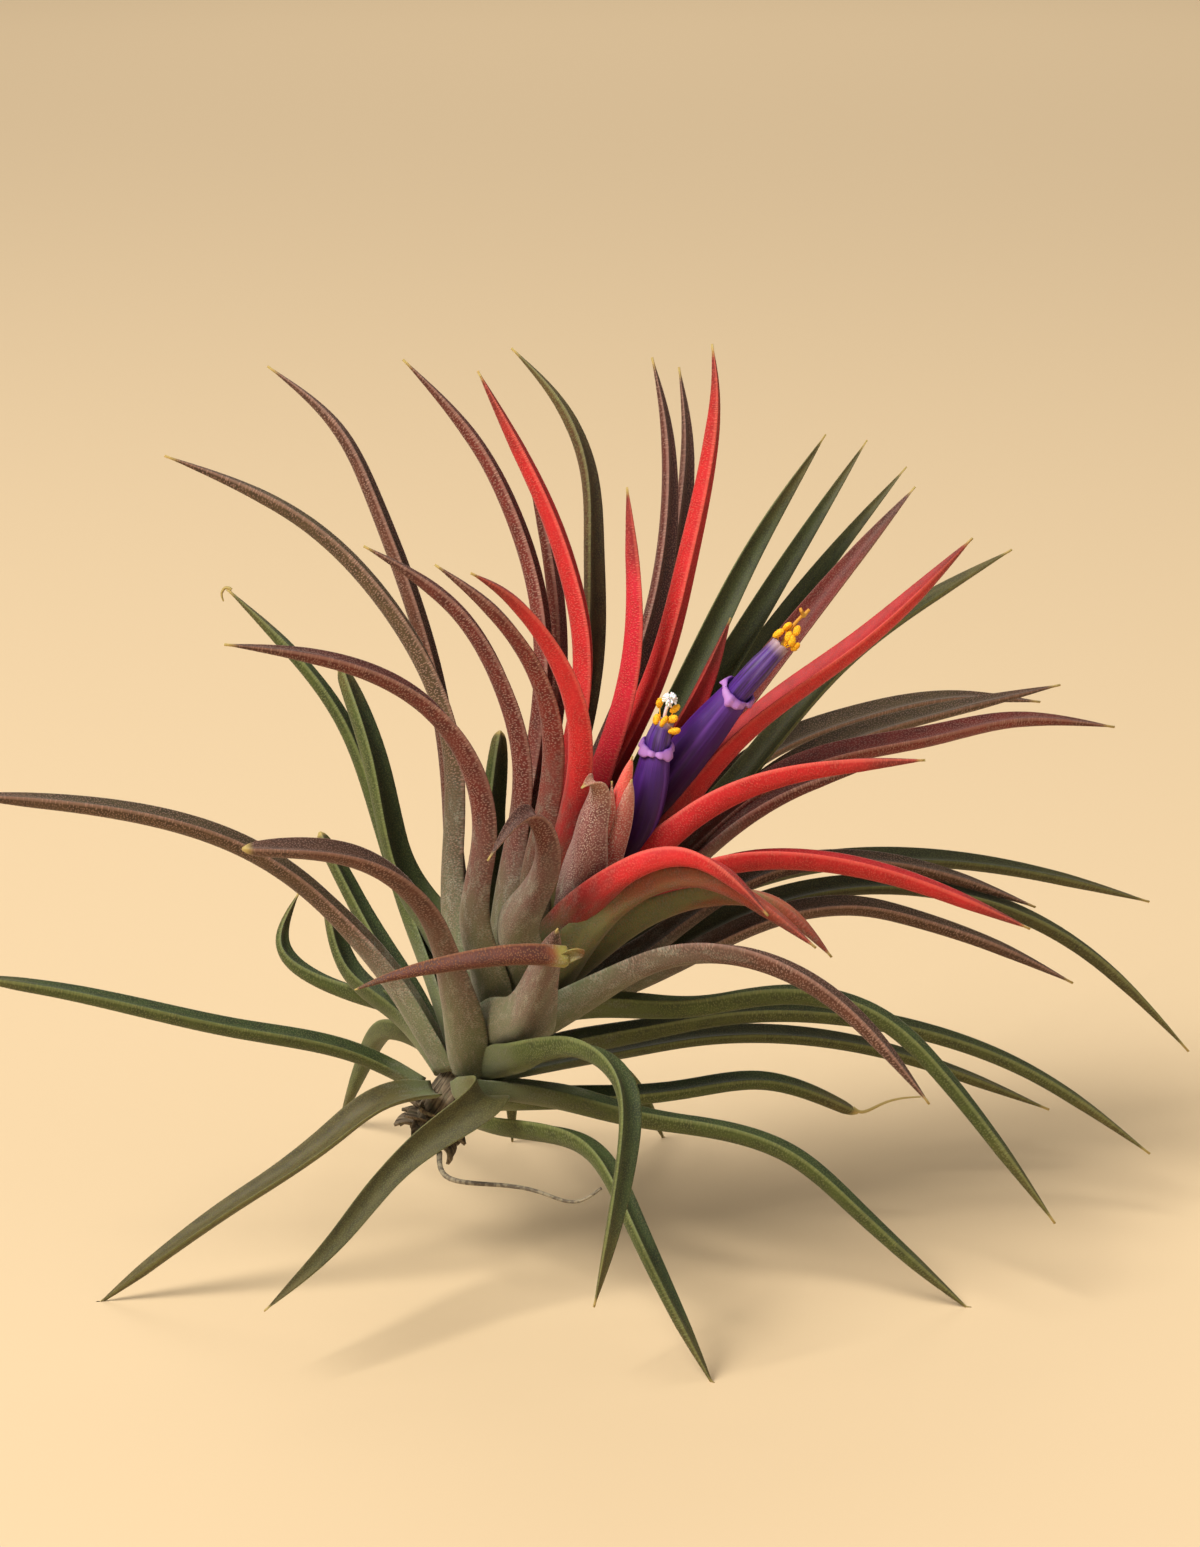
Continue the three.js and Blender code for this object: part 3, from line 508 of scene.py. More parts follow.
FOLDED = 19
BRONZE_LEAVES = [
    {"rank": 8, "width": 4.4, "path": [[-9, 1, 22.6], [-26, -2, 40.1], [-43, -6, 46.8], [-67, -10, 50.2]],
     "fade": 0.5},
    {"rank": 11, "width": 4.2,
     "path": [[2, -13, 24], [-0.8, -20, 37.2], [-8.7, -26, 45.6], [-24, -31, 48.5]], "fade": 0.2,
     "blunt": True},
    {"rank": 16, "width": 4.0,
     "path": [[2, -1, 35], [2, 1, 56], [-5.6, 3, 72.6], [-18.4, 5, 85.5], [-37, 6, 94]], "fade": 0.6},
    {"rank": 19, "width": 4.4,
     "path": [[10, -15, 20], [15, -22, 30], [19, -29, 34], [11, -33, 33.5], [-9, -34, 30.5]]},
    {"rank": 21, "width": 3.9,
     "path": [[0.9, 15, 51.3], [-3.8, 18, 71], [-9.1, 20.5, 85.1], [-14.1, 23, 94.7], [-24.5, 27, 103.2]],
     "fade": 0.2},
    {"rank": 22, "width": 4.8, "path": [[28, -15, 27], [40, -21, 31.1], [52, -25, 27.5], [67, -28, 12]],
     "fade": 0.2, "sheathed": 1.3},
    {"rank": 24, "width": 4.2,
     "path": [[5, -12, 33], [7, -15, 46.4], [1.8, -18, 62.7], [-10.1, -22, 71.1], [-26, -27, 75]],
     "flush": 0.15},
    {"rank": 25, "width": 4.0,
     "path": [[37, 4, 23.4], [47.9, 9.5, 26.6], [60.3, 14, 26.8], [68.6, 17, 24.1], [80.3, 19.5, 19.3],
              [92.7, 23, 12.2]],
     "twin": [[47, 14, 32], [66, 20, 31.5], [87.3, 27, 22.7]], "fade": 0.4},
    {"rank": 29, "width": 4.1, "path": [[12.2, -4, 53], [9.2, -5, 65.3], [3.3, -6, 75.2], [-9, -7, 84]],
     "flush": 0.2},
    {"rank": 32, "width": 4.6, "path": [[11, -15, 33], [15.5, -19.5, 44], [13.5, -23, 51], [8, -28, 46]]},
    {"rank": 33, "width": 4.2, "path": [[51.3, 14, 48.5], [69.1, 22, 53], [90, 28, 56.3]],
     "twin": [[47.5, 24, 47.5], [59.4, 29, 51], [74.7, 36, 52.4], [88.9, 42, 50.3]], "fade": 0.5},
    {"rank": 34, "width": 3.9,
     "path": [[15, 6.5, 66.2], [14.3, 8, 73.3], [10.8, 10.5, 85], [5.8, 12.5, 94.5], [-4.5, 14, 106.1]],
     "twin": [[16.6, 9.5, 58.6], [16.8, 12.5, 70.3], [15.3, 15.5, 80.9], [12.3, 18, 92]], "flush": 0.35},
    {"rank": 37, "width": 4.0,
     "path": [[16.1, -9, 60.8], [14.4, -10.5, 67.2], [11.4, -12.5, 73], [7.6, -14.5, 77.8], [1, -16, 83.3]],
     "flush": 0.5},
    {"rank": 38, "width": 3.8, "path": [[42, 1, 43], [51, 2, 48], [61, 3, 50.8]], "flush": 0.2},
    {"rank": 39, "width": 3.9,
     "path": [[30.9, 15, 72.1], [32.6, 20, 84.3], [32.1, 24, 96], [30.2, 26, 104.6]],
     "twin": [[32.7, 21, 72.2], [34.9, 27, 83.9], [35.3, 31, 93.3], [34.2, 34, 102]]},
    {"rank": 46, "width": 4.6, "path": [[50.9, 6, 49.7], [69.5, 11, 52.9], [82.5, 17, 53.9], [97, 20, 52]],
     "flush": 0.6},
    {"rank": 49, "width": 4.5, "path": [[42, 8, 58], [54, 11, 73], [67, 15, 88]], "flush": 0.75},
]
for place, leaf in enumerate(BRONZE_LEAVES, 1):
    if leaf["rank"] != FOLDED:
        add_leaf("bronze", place, leaf, bronze_skin)

# ---- The folded leaf --------------------------------------------------------------------------------------
# One bronze leaf was bent over in the hand. Its sheath ends in a pale mauve corner, its blade hangs back to
# the left with its rust-coloured underside up, and a yellow-green ear stands out at the crease.

FOLDED_SHEATH = [[11.8, -16.0, 18.5], [14.7, -22.0, 27.5], [17.2, -27.2, 36.4]]
FOLDED_BLADE = [[18.6, -30.5, 32.9], [13.9, -31.8, 33.7], [3.9, -33.0, 33.1], [-6.1, -33.6, 31.1],
                [-9.4, -33.8, 30.0]]
CREASE_EAR = [[18.1, -30.2, 33.4], [19.6, -30.6, 34.3], [20.7, -30.4, 34.1]]
TOWARDS_VIEW = [0.0, -0.3, 1.0]
FOLDED_WIDTH = 5.0
FOLDED_HALF_BLADE = 1.45
EAR_HALF = 0.8

rust_skin = leaf_finish(
    "folded_leaf", foot="#88803a", sheath="#7c3e1c", blade="#54200f", channel_and_shade="#3c1a10", tip="#5a4430",
    scale="#b07850", silver=0.4, flushed="#8a2018", faded="#4a4c2c", sheath_mm=2.6, sheen_weight=0.2,
    sheen_roughness=0.4, sheen_tint=(1.0, 0.82, 0.6, 1.0), subsurface_weight=0.05, subsurface_scale=0.001)

draw = np.random.default_rng(FOLDED)
rise = LOWEST_LEAF + FOLDED * LEAF_SPACING
turn = math.radians(FIRST_TURN + FOLDED * GOLDEN_TURN)
add_piece("leaf_bronze_04_sheath", "leaf_bronze_04",
          [leaf_skin(rise, turn, FOLDED_SHEATH, FOLDED_WIDTH, seed=FOLDED, taper=7)], bronze_skin)
across = np.tile(TOWARDS_VIEW, (LEAF_ROWS, 1))
share = np.linspace(0, 1, LEAF_ROWS)
total, at = spring_curve(FOLDED_BLADE)
half = FOLDED_HALF_BLADE * smooth(share, -0.02, 0.012) * (1 - share ** 2.4) + 0.1
marks = {"along": share, "reach": share * total}
blade = strip_skin(at, share, across, half, 0.8 * half, 0.5 * half, marks, draw)
total, at = spring_curve(CREASE_EAR)
half = EAR_HALF * np.sqrt(1 - share ** 5) + 0.1
ear = strip_skin(at, share, across, half, 0.8 * half, 0.3 + 0 * half, {"reach": share * 2.2}, draw)
add_piece("leaf_bronze_04_blade", "leaf_bronze_04", [blade, ear], rust_skin)

# ---- The red leaves ---------------------------------------------------------------------------------------
# The youngest leaves, round the flowers. They turn coral red to draw birds to the violet tubes, and go back
# to green afterwards. Their tips are brown-red and dry.

# The dark red of the sheath zone is partly the leaves' own deeper colour low down, partly painted shade deep in
# the crown.
red_skin = leaf_finish(
    "red_leaf", foot="#757648", sheath="#7e1a1c", blade="#c8161c", channel_and_shade="#a8101a", tip="#6a2a20",
    scale="#ec7a66", silver=0.28, flushed="#cc1030", faded="#98452c", sheath_mm=28, sheen_weight=0.25,
    sheen_roughness=0.4, sheen_tint=(1.0, 0.75, 0.65, 1.0), subsurface_weight=0.1, subsurface_scale=0.0015)

RED_LEAVES = [
    {"rank": 27, "width": 4.6,
     "path": [[28.2, -15, 38], [36.3, -18.5, 40.9], [43.6, -21, 38.3], [51.7, -24, 32.7]],
     "fade": 0.7, "sheathed": 2.0},
    {"rank": 35, "width": 4.8,
     "path": [[29, -11, 33.1], [39.1, -14.5, 37.3], [45.6, -17, 37.1], [54.1, -20, 30.1]],
     "fade": 0.8, "sheathed": 2.2},
    {"rank": 40, "width": 4.2,
     "path": [[28.2, -18, 42.3], [34.8, -20.5, 44.3], [40.1, -23, 42.3], [45.2, -25, 37.5]]},
    {"rank": 42, "width": 4.8,
     "path": [[20.6, 4, 63.1], [20.3, 5, 70.3], [19.2, 6, 75.6], [15.6, 8, 86.2], [10.2, 9.5, 97.2],
              [6, 10, 105.1]]},
    {"rank": 43, "width": 5.0,
     "path": [[38, -5, 38.2], [50.4, -6, 39.9], [64.3, -6, 37.2], [82.5, -6, 29.7]], "sheathed": 0.8},
    {"rank": 44, "width": 4.2, "path": [[36, 5, 59], [41, 7, 71]]},
    {"rank": 45, "width": 4.2,
     "path": [[19.4, -12, 63.2], [15.9, -14, 72.3], [9.7, -18, 80.3], [5.9, -20.5, 83.1]]},
    {"rank": 47, "width": 5.0,
     "path": [[31.1, 3, 65.2], [34.9, 4, 79.7], [37.8, 5, 93.6], [38.6, 5.5, 104.5], [38.1, 6, 109.4]]},
    {"rank": 48, "width": 4.6, "path": [[37, -7, 47], [47, -8, 52], [67, -10, 55]], "sheathed": 0.7},
    {"rank": 50, "width": 4.4,
     "path": [[26.4, -2, 62.7], [27.6, -2, 71.3], [27.3, -1, 82.9], [26.5, -1, 90.9]], "flush": 0.8},
    {"rank": 51, "width": 5.5,
     "path": [[33, 0.6, 44.2], [43.7, 0.8, 57.3], [57.4, 3, 67.3], [74.3, 6, 82.5]], "sheathed": 0.85},
]
for place, leaf in enumerate(RED_LEAVES, 1):
    add_leaf("red", place, leaf, red_skin)

# ---- The bracts -------------------------------------------------------------------------------------------
# Two papery leaves that cup the foot of the flowers, grey-mauve and dusted with silver. The left one turns
# its tip over like a beak. The right one is split into pink lobes, and a young coral one stands behind it.

bract_skin = leaf_finish(
    "bract", foot="#5e463a", sheath="#744640", blade="#8a5450", channel_and_shade="#6e3a34", tip="#b07c64",
    scale="#e2c6b4", silver=0.75, flushed="#c8685c", faded="#6a5a3c", sheath_mm=14, sheen_weight=0.35,
    sheen_roughness=0.4, sheen_tint=(1.0, 0.85, 0.78, 1.0), subsurface_weight=0.1, subsurface_scale=0.0012)
coral_skin = leaf_finish(
    "coral_bract", foot="#8c3c3a", sheath="#c83c3c", blade="#e44a4c", channel_and_shade="#b83838", tip="#e8705e",
    scale="#e8a890", silver=0.4, flushed="#c03038", faded="#a8584c", sheath_mm=14, sheen_weight=0.25,
    sheen_roughness=0.4, sheen_tint=(1.0, 0.8, 0.7, 1.0), subsurface_weight=0.15, subsurface_scale=0.0012)

LEFT_BRACT = (29, math.radians(-112))
RIGHT_BRACT = (31, math.radians(-66))
BEAKED = [[20.5, -13.0, 42.7], [21.6, -14.0, 48.0], [22.5, -14.6, 52.0], [22.0, -15.6, 53.6],
          [20.3, -17.0, 52.9]]
SPLIT = [[23.2, -11.6, 41.4], [25.3, -12.2, 46.8], [27.1, -12.3, 52.9]]
LOBE = [[22.8, -11.8, 42.0], [24.1, -12.5, 47.6], [24.4, -13.0, 52.8]]
YOUNG = [[24.2, -11.4, 46.0], [25.6, -11.7, 51.0], [27.2, -11.7, 56.0]]

add_piece("bract_left_paper", "bract_left",
          [leaf_skin(*LEFT_BRACT, BEAKED, 4.7, seed=1, taper=9, thick=0.9)], bract_skin)
add_piece("bract_right_paper", "bract_right",
          [leaf_skin(*RIGHT_BRACT, SPLIT, 3.4, seed=2, taper=10, thick=0.8, flush=0.8),
           leaf_skin(*RIGHT_BRACT, LOBE, 2.2, seed=3, taper=5, thick=0.6, flush=0.9)], bract_skin)
add_piece("bract_right_coral", "bract_right",
          [leaf_skin(*RIGHT_BRACT, YOUNG, 3.2, seed=4, taper=9, thick=0.8)], coral_skin)

# ---- The corollas -----------------------------------------------------------------------------------------
# Each flower is a violet tube of three petals, rolled so that each edge laps over the next. At the mouth
# their pale lilac ends turn back as a thin cuff.

PETALS = 3
TUBE_SIDES = 96
TUBE_ROWS = 50
CUFF_ROWS = 13
CUFF_BEND = 2.9
CUFF_WIDTH = 0.32
CUFF_HANG = 1.2
CUFF_THICKNESS = 0.14
THROAT_ROWS = 7
THROAT_DEPTH = 3
WALL = 0.18
TUBE_SHAPE = ([0, 0.1, 0.25, 0.45, 0.65, 0.82, 1], [0.5, 0.62, 0.78, 0.92, 1, 0.92, 0.68])
FLOWERS = [
    {"name": "short", "path": [[20, -3, 33], [28, -6.2, 45], [30.6, -7, 56.4]], "column": [31.5, -7, 59.5],
     "fullest": 2.65, "turn": 0.4, "slant": 0.9},
    {"name": "long", "path": [[22, 0, 33], [31, -0.7, 48], [41.7, -4, 63]], "column": [47.4, -4, 69.6],
     "fullest": 3.0, "turn": 1.5, "slant": 0.5},
]

petal = Finish("petal", subsurface_weight=0.1, subsurface_scale=0.001)
share, cuff, seam = petal.mark("along"), petal.mark("flush"), petal.mark("fade")
streaks = petal.surface_noise(2.2, 0.12, 3)
violet = petal.mix(petal.step(share + (streaks - 0.5) * 0.2, 0.3, 0.95), paint("#2c0528"), paint("#3e0a6c"))
violet = petal.mix(petal.step(streaks, 0.5, 0.8) * petal.step(share, 0.4, 0.9) * 0.4, violet, paint("#5c2094"))
# Lighter violet near the mouth: partly the petals' paler colour towards the cuff, partly painted light from the
# lit side.
violet = petal.mix(petal.step(share, 0.88, 1) * 0.3, violet, paint("#7a40b4"))
violet = petal.mix(seam * 0.4, violet, paint("#7c40b0"))
violet = petal.mix(cuff, violet, paint("#b078c4"))
petal_skin = petal.out(base_color=violet, roughness=0.55, normal=petal.bump(streaks, 0.08))

for flower in FLOWERS:
    total, tube = spring_curve(flower["path"])
    angle = np.arange(TUBE_SIDES) * 2 * math.pi / TUBE_SIDES
    # The outside: the fullness at its share times the lap of the petals, a saw of three teeth round the tube.
    share = np.linspace(0, 1, TUBE_ROWS)
    fullness = np.interp(share, *TUBE_SHAPE) * flower["fullest"]
    for _ in range(3):
        fullness[1:-1] = (fullness[:-2] + 2 * fullness[1:-1] + fullness[2:]) / 4
    tooth = ((angle + flower["turn"]) * PETALS / (2 * math.pi) + 0.25 * share[:, None]) % 1
    outside = fullness[:, None] * (0.98 + 0.05 * smooth(tooth, 0, 0.12) * (1 - 0.8 * tooth))
    # The cuff: from the mouth each lobe curls outward and back down the tube, farthest at its middle.
    curl = np.linspace(0, 1, CUFF_ROWS + 1)[1:, None]
    lobe = np.abs(np.cos(0.5 * PETALS * (angle + flower["turn"]) + 0.3)) ** 0.5
    bend = CUFF_BEND * curl * (0.4 + 0.6 * lobe)
    reach = 0.55 + 0.4 * lobe + 0.12 * np.sin(7 * angle + flower["turn"]) + 0.08 * np.sin(13 * angle)
    ruffle = 0.08 * np.sin(9 * angle) * curl
    cuff_out = outside[-1] + reach * (1 - np.cos(bend)) * CUFF_WIDTH + ruffle
    cuff_lift = reach * (0.7 * np.sin(bend) - CUFF_HANG * curl ** 2)
    # The inside: back along the cuff a little nearer the middle, then down the throat.
    back_out = cuff_out[::-1] - CUFF_THICKNESS * np.cos(bend[::-1])
    back_lift = cuff_lift[::-1] + CUFF_THICKNESS * np.sin(bend[::-1])
    throat_lift = np.linspace(0, -THROAT_DEPTH, THROAT_ROWS + 1)[1:, None] + 0 * angle
    radius = np.concatenate([outside, cuff_out, back_out, outside[-1] - WALL + 0 * throat_lift])
    lift = np.concatenate([0 * outside, cuff_lift, back_lift, throat_lift])
    # The mouth is cut aslant: it hangs lower on the side that faces the viewer.
    near_mouth = np.concatenate([smooth(share, 0.8, 1), np.ones(len(radius) - TUBE_ROWS)])[:, None]
    lift = lift + flower["slant"] * np.sin(angle) * near_mouth
    shares = np.concatenate([share, np.ones(len(radius) - TUBE_ROWS)])[:, None]
    edge = np.concatenate([0 * share, curl[:, 0], curl[::-1, 0], np.zeros(THROAT_ROWS)])[:, None]
    lap = np.zeros(radius.shape)
    lap[:TUBE_ROWS] = (1 - np.abs(tooth - 0.05) / 0.09).clip(0, 1) * smooth(share, 0.25, 0.6)[:, None]
    marks = {"along": shares, "flush": np.clip(edge * 2.4 - 0.9, 0, 1), "fade": lap}
    skin = ring_skin(rings_about(tube, shares[:, 0], radius, lift), marks, angle * 2.5, shares * total + lift)
    name = "corolla_" + flower["name"]
    add_piece(name + "_petals", name, [skin], petal_skin)
    flower["tube"] = tube

# ---- The filaments ----------------------------------------------------------------------------------------
# Six flattened violet filaments stand out of each mouth in one close bunch, with pale lines where they
# touch. Their ends fray out to carry the anthers.

COLUMN_RADIUS = 1.7
COLUMN_SIDES = 72
COLUMN_ROWS = 30
FILAMENTS = 6

filament = Finish("filament", sheen_weight=0.1)
groove, share = filament.mark("fade"), filament.mark("along")
streaks = filament.surface_noise(4, 0.2, 2)
tint = filament.mix(filament.step(streaks, 0.3, 0.7), paint("#280640"), paint("#4a1688"))
tint = filament.mix(groove * filament.step(share, 0.3, 0.7) * 0.7, tint, paint("#8468a8"))
tint = filament.mix(filament.step(share, 0.84, 1), tint, paint("#a88c96"))
filament_skin = filament.out(base_color=tint, roughness=0.5)

for flower in FLOWERS:
    mouth = flower["tube"](np.array([1.0]))[0]
    ahead = curve_ways(flower["tube"], np.array([1.0]))[0]
    total, column = spring_curve([mouth - 2 * ahead, mouth, np.array(flower["column"], float)])
    share = np.linspace(0, 1, COLUMN_ROWS)[:, None]
    angle = np.arange(COLUMN_SIDES) * 2 * math.pi / COLUMN_SIDES
    flute = np.abs(np.cos(0.5 * FILAMENTS * angle + 0.5 * share)) ** 0.5
    radius = COLUMN_RADIUS * (1 - 0.2 * smooth(share, 0.5, 1)) * (0.88 + 0.12 * flute)
    rings = rings_about(column, share[:, 0], radius, 0.3 * flute * smooth(share, 0.8, 1))
    skin = ring_skin(rings, {"along": share, "fade": 1 - flute}, angle * COLUMN_RADIUS, share * total)
    name = "corolla_" + flower["name"]
    add_piece(name + "_filaments", name, [skin], filament_skin)
    flower["column_line"] = column

# ---- The anthers and the style ----------------------------------------------------------------------------
# Six orange-yellow anthers, each a small two-lobed bean on the tip of its filament, crowd round the style.
# The short flower is fresh: its stigma is a white tuft. The long one's style is brown-yellow and twisted.

BEAN_ROWS = 12
BEAN_SIDES = 16
# How far each anther's middle is to the right, above and behind the top of the bunch, then its tilt.
ANTHERS = {
    "short": [(-1.0, 0.6, -0.7, 75), (0.0, 0.4, -1.2, 60), (1.2, 0.7, -0.9, 25), (1.4, -0.9, -1.1, 10),
              (1.5, 2.0, -0.3, 35), (-0.6, 2.8, -0.3, 80)],
    "long": [(-0.3, 1.8, -0.6, 40), (0.9, 2.6, -0.2, 50), (1.1, 1.4, -1.0, 70), (2.2, 2.1, -0.4, 65),
             (2.0, 0.0, -0.9, 50), (1.5, 0.9, -1.2, 80)],
}
BUNCH_SEED = {"short": 31, "long": 12}
BEAN_LENGTHS = (1.6, 2.0)
BEAN_WIDTHS = (0.9, 1.1)
BEAN_TURN = 0.5
FILAMENT_RADIUS = 0.13
STYLE_TIP = {"short": (0.8, 3.3, -0.6), "long": (3.1, 4.3, 0.0)}
STYLE_RADIUS = 0.28
TUFT_HAIRS = 44
HAIR_RADIUS = 0.2
LOBE_TURNS = (0, 2.1, 4.2)

anther = Finish("anther", roughness=0.75, subsurface_weight=0.1, subsurface_scale=0.0005)
pollen = anther.solid_noise(6)
yellow = anther.mix(anther.step(pollen, 0.35, 0.65), paint("#f09000"), paint("#ffd01c"))
anther_skin = anther.out(base_color=yellow, normal=anther.bump(pollen, 0.1))
tuft = Finish("stigma", roughness=0.6, subsurface_weight=0.3, subsurface_scale=0.0005)
stigma_skin = tuft.out(base_color=tuft.mix(tuft.mark("along"), paint("#dcb2ae"), paint("#f8f3f5")))
old = Finish("style", roughness=0.6)
style_skin = old.out(base_color=old.mix(old.mark("along"), paint("#c79a3a"), paint("#c98a22")))


def bean_skin(middle, axis, length, width, seed):
    """A bean: rings about its axis, whose radius is a half circle, pinched along one side by a groove."""
    draw = np.random.default_rng(seed)
    t = np.linspace(0.02, 0.98, BEAN_ROWS)[:, None]
    angle = np.arange(BEAN_SIDES) * 2 * math.pi / BEAN_SIDES
    groove = 1 - 0.35 * np.exp(-((np.cos(angle) - 1) / 0.25) ** 2)
    rough = 1 + 0.06 * draw.standard_normal((BEAN_ROWS, BEAN_SIDES))
    radius = 0.5 * width * np.sqrt(1 - (2 * t - 1) ** 2) * groove * rough
    aside = unit(np.cross(axis, draw.standard_normal(3)))
    over = np.cross(axis, aside)
    points = (middle + ((t - 0.5) * length)[..., None] * axis
              + (radius * np.cos(angle))[..., None] * aside + (radius * np.sin(angle))[..., None] * over)
    return ring_skin(points, {}, angle, t * length)


for flower in FLOWERS:
    name = "anthers_" + flower["name"]
    top = flower["column_line"](np.array([1.0]))[0]
    draw = np.random.default_rng(BUNCH_SEED[flower["name"]])
    skins = []
    for right, above, behind, tilt in ANTHERS[flower["name"]]:
        middle = top + [right, behind, above]
        tilt = math.radians(tilt)
        axis = unit(np.array([math.cos(tilt), draw.uniform(-BEAN_TURN, BEAN_TURN), math.sin(tilt)]))
        length, width = draw.uniform(*BEAN_LENGTHS), draw.uniform(*BEAN_WIDTHS)
        skins.append(bean_skin(middle, axis, length, width, len(skins)))
        foot = top + 0.5 * np.array([np.sign(right), -0.6, -0.6])
        bowed = 0.5 * (foot + middle) + [0, 0, 0.1]
        skins.append(thread_skin([foot, bowed, middle], FILAMENT_RADIUS, rows=10))
    add_piece(name + "_beans", name, skins, anther_skin)
    right, above, behind = STYLE_TIP[flower["name"]]
    tip = top + [right, behind, above]
    bowed = top + 0.5 * (tip - top) + [-0.1, 0, 0.2]
    skins = [thread_skin([top - [0, 0, 0.6], bowed, tip], STYLE_RADIUS, 0.8, 16)]
    if flower["name"] == "short":
        for i in range(TUFT_HAIRS):
            way = unit(np.array([0, 0, 0.45]) + draw.standard_normal(3))
            middle = tip + 0.55 * way
            bent = unit(np.cross(way, draw.standard_normal(3)))
            end = middle + 0.45 * way + 0.3 * bent
            skins.append(thread_skin([tip, middle, end], HAIR_RADIUS, 0.7, 8, 6, along=1.0))
    else:
        for turn in LOBE_TURNS:
            way = np.array([math.cos(turn), math.sin(turn), 0.6])
            line = [tip - [0, 0, 0.3], tip + 0.4 * way, tip + 0.8 * way + [0, 0, 0.2]]
            skins.append(thread_skin(line, STYLE_RADIUS, 0.8, 10))
    finish = stigma_skin if flower["name"] == "short" else style_skin
    add_piece(name + "_style", name, skins, finish)

# ---- The stem ---------------------------------------------------------------------------------------------
# A short woody stem, hidden by the sheaths but for its foot. The bases of dead leaves still wrap it there in
# grey-brown papery scales.

stem = Finish("stem", roughness=0.9)
fibres = stem.surface_noise(3, 0.3, 4)
brown = stem.mix(stem.step(fibres, 0.3, 0.7), paint("#3d3125"), paint("#7e6f5a"))
brown = stem.mix(stem.step(stem.solid_noise(0.9), 0.5, 0.7) * 0.6, brown, paint("#55533f"))
stem_skin = stem.out(base_color=brown, normal=stem.bump(fibres, 0.2))

DEAD_LEAVES = 22
DEAD_ROWS = 20
DEAD_WIDTH = 3.8
BARK_ROWS = 40
BARK_SIDES = 36
BARK_FOOT = -5

total, core = spring_curve([STEM_AXIS * BARK_FOOT, STEM_AXIS * (STEM_LENGTH - 1.0)])
share = np.linspace(0, 1, BARK_ROWS)[:, None]
rise = BARK_FOOT + share * (STEM_LENGTH - 1 - BARK_FOOT)
angle = np.arange(BARK_SIDES) * 2 * math.pi / BARK_SIDES
bark = 1 + 0.05 * np.sin(7 * angle + 2 * share) + 0.03 * np.sin(11 * angle + 30 * share)
around = np.interp(rise, [BARK_FOOT, -4.4, -3, 0, STEM_LENGTH],
                   [0.8, 2.2, 3.2, STEM_FOOT_RADIUS, STEM_TOP_RADIUS])
skins = [ring_skin(rings_about(core, share[:, 0], around * bark), {}, angle * 3, share * total)]
for i in range(DEAD_LEAVES):
    turn = math.radians(i * GOLDEN_TURN)
    outward = STEM_DOWNHILL * math.cos(turn) + STEM_BACK * math.sin(turn)
    foot = STEM_AXIS * (-4 + 0.22 * i) + outward * 1.6
    middle = foot + outward * 2.3 - STEM_AXIS * 0.2
    tip = foot + outward * (3.2 + 0.04 * i) - STEM_AXIS * (1.8 - 0.11 * i)
    _, at = spring_curve([foot, middle, tip])
    share = np.linspace(0, 1, DEAD_ROWS)
    half = 0.5 * DEAD_WIDTH * (1 - share ** 2.5) + 0.1
    across = np.tile(np.cross(STEM_AXIS, outward), (DEAD_ROWS, 1))
    skins.append(strip_skin(at, share, across, half, 0.5 * half, 0.25 + 0 * half, {}, np.random.default_rng(i)))
add_piece("stem_bark", "stem", skins, stem_skin)

# ---- The root ---------------------------------------------------------------------------------------------
# One wiry root wanders from the stem's foot. It only holds the plant to a branch, so it is a dry thread.

root = Finish("root", roughness=0.85)
root_skin = root.out(base_color=root.mix(root.step(root.solid_noise(1.2), 0.4, 0.6),
                                         paint("#5d5346"), paint("#8f8570")))
ROOT_PATH = [[0, -3, -4.6], [2, -12, -5], [9.6, -16, -4.4], [15, -18, -4.8], [19.5, -19, -5.6], [23, -19, -3.6]]
ROOT_RADIUS = 0.42
add_piece("root_thread", "root", [thread_skin(ROOT_PATH, ROOT_RADIUS, 0.5, 120, 10)], root_skin)

# ---- The table, the light and the camera ------------------------------------------------------------------
# A plain pale table top, lit by one large soft lamp from the upper left and a weaker one from the right.

TABLE_SIZE = 12
SKY_COLOUR = (1, 0.93, 0.82, 1)
SKY_STRENGTH = 0.3

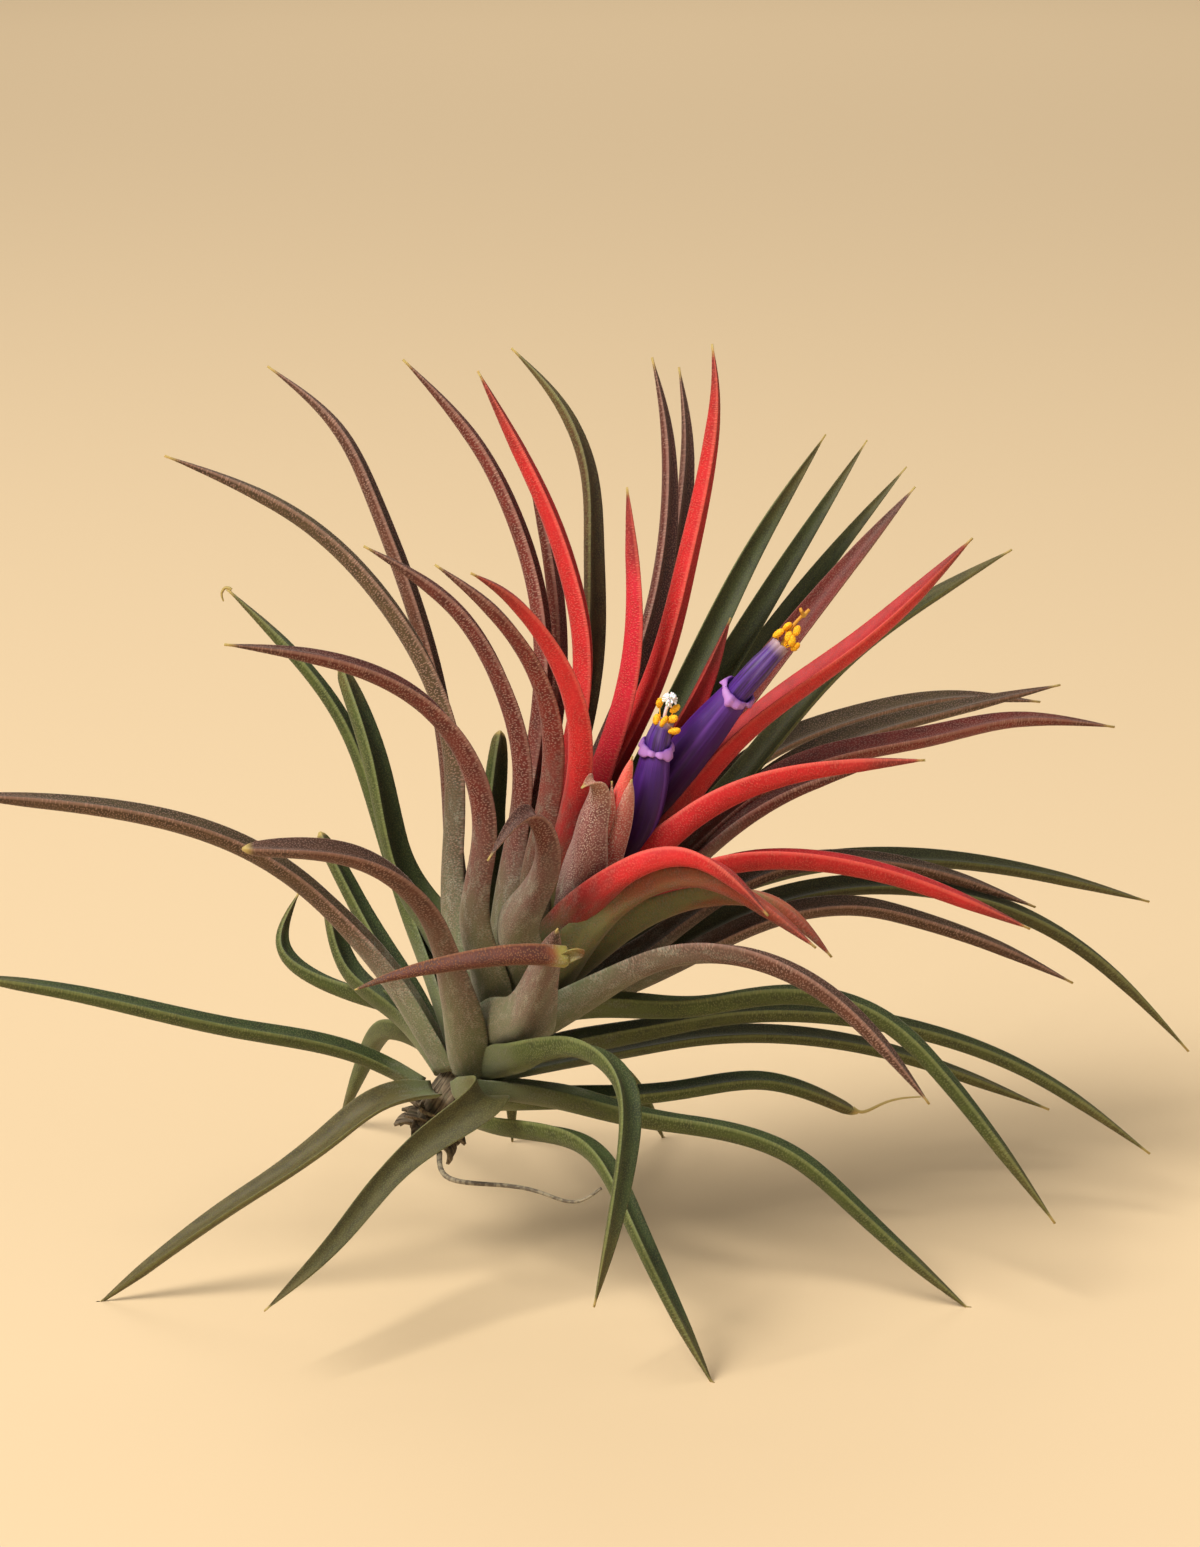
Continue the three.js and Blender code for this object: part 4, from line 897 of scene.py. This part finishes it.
table = Finish("table", roughness=0.9)
bpy.ops.mesh.primitive_plane_add(size=TABLE_SIZE)
floor = bpy.context.object
floor.name = "floor"
floor.data.materials.append(table.out(base_color=paint("#d8c09c")))


def add_lamp(name, place, aim, size, power, colour):
    """A square soft lamp at a place, turned to its aim, both in metres."""
    lamp = bpy.data.lights.new(name, "AREA")
    lamp.size = size
    lamp.energy = power
    lamp.color = colour
    body = bpy.data.objects.new(name, lamp)
    body.location = place
    way = np.array(aim) - np.array(place)
    body.rotation_euler = (math.atan2(math.hypot(way[0], way[1]), -way[2]), 0,
                           math.atan2(way[1], way[0]) - math.pi / 2)
    bpy.context.scene.collection.objects.link(body)


add_lamp("key", (-1.2, -1.1, 2.0), (0, 0, 0.06), 1.1, 88, (1, 0.95, 0.86))
add_lamp("fill", (1.6, -1.0, 1.0), (0, 0, 0.06), 1.4, 5, (1, 0.96, 0.92))
add_lamp("far", (0, 3.4, 2.6), (0, 3.4, 0), 2.5, 50, (1, 0.95, 0.86))
world = bpy.data.worlds.new("studio")
bpy.context.scene.world = world
world.use_nodes = True
world.node_tree.nodes["Background"].inputs["Color"].default_value = SKY_COLOUR
world.node_tree.nodes["Background"].inputs["Strength"].default_value = SKY_STRENGTH

TARGET = (0.0002, -0.0063, 0.0734)
DISTANCE = 0.5
LOOK_DOWN = math.radians(15)
SENSOR = 36
# The image's height is 1547 pixels, and a thing as far off as it is high would cover 3600 of them.
FOCAL_SHARE = 3600 / 1547
camera = bpy.data.cameras.new("camera")
camera.sensor_width = SENSOR
camera.lens = FOCAL_SHARE * SENSOR
viewer = bpy.data.objects.new("camera", camera)
viewer.location = (TARGET[0], TARGET[1] - DISTANCE * math.cos(LOOK_DOWN),
                   TARGET[2] + DISTANCE * math.sin(LOOK_DOWN))
viewer.rotation_euler = (math.pi / 2 - LOOK_DOWN, 0, 0)
bpy.context.scene.collection.objects.link(viewer)
bpy.context.scene.camera = viewer
bpy.context.scene.view_settings.view_transform = "Standard"
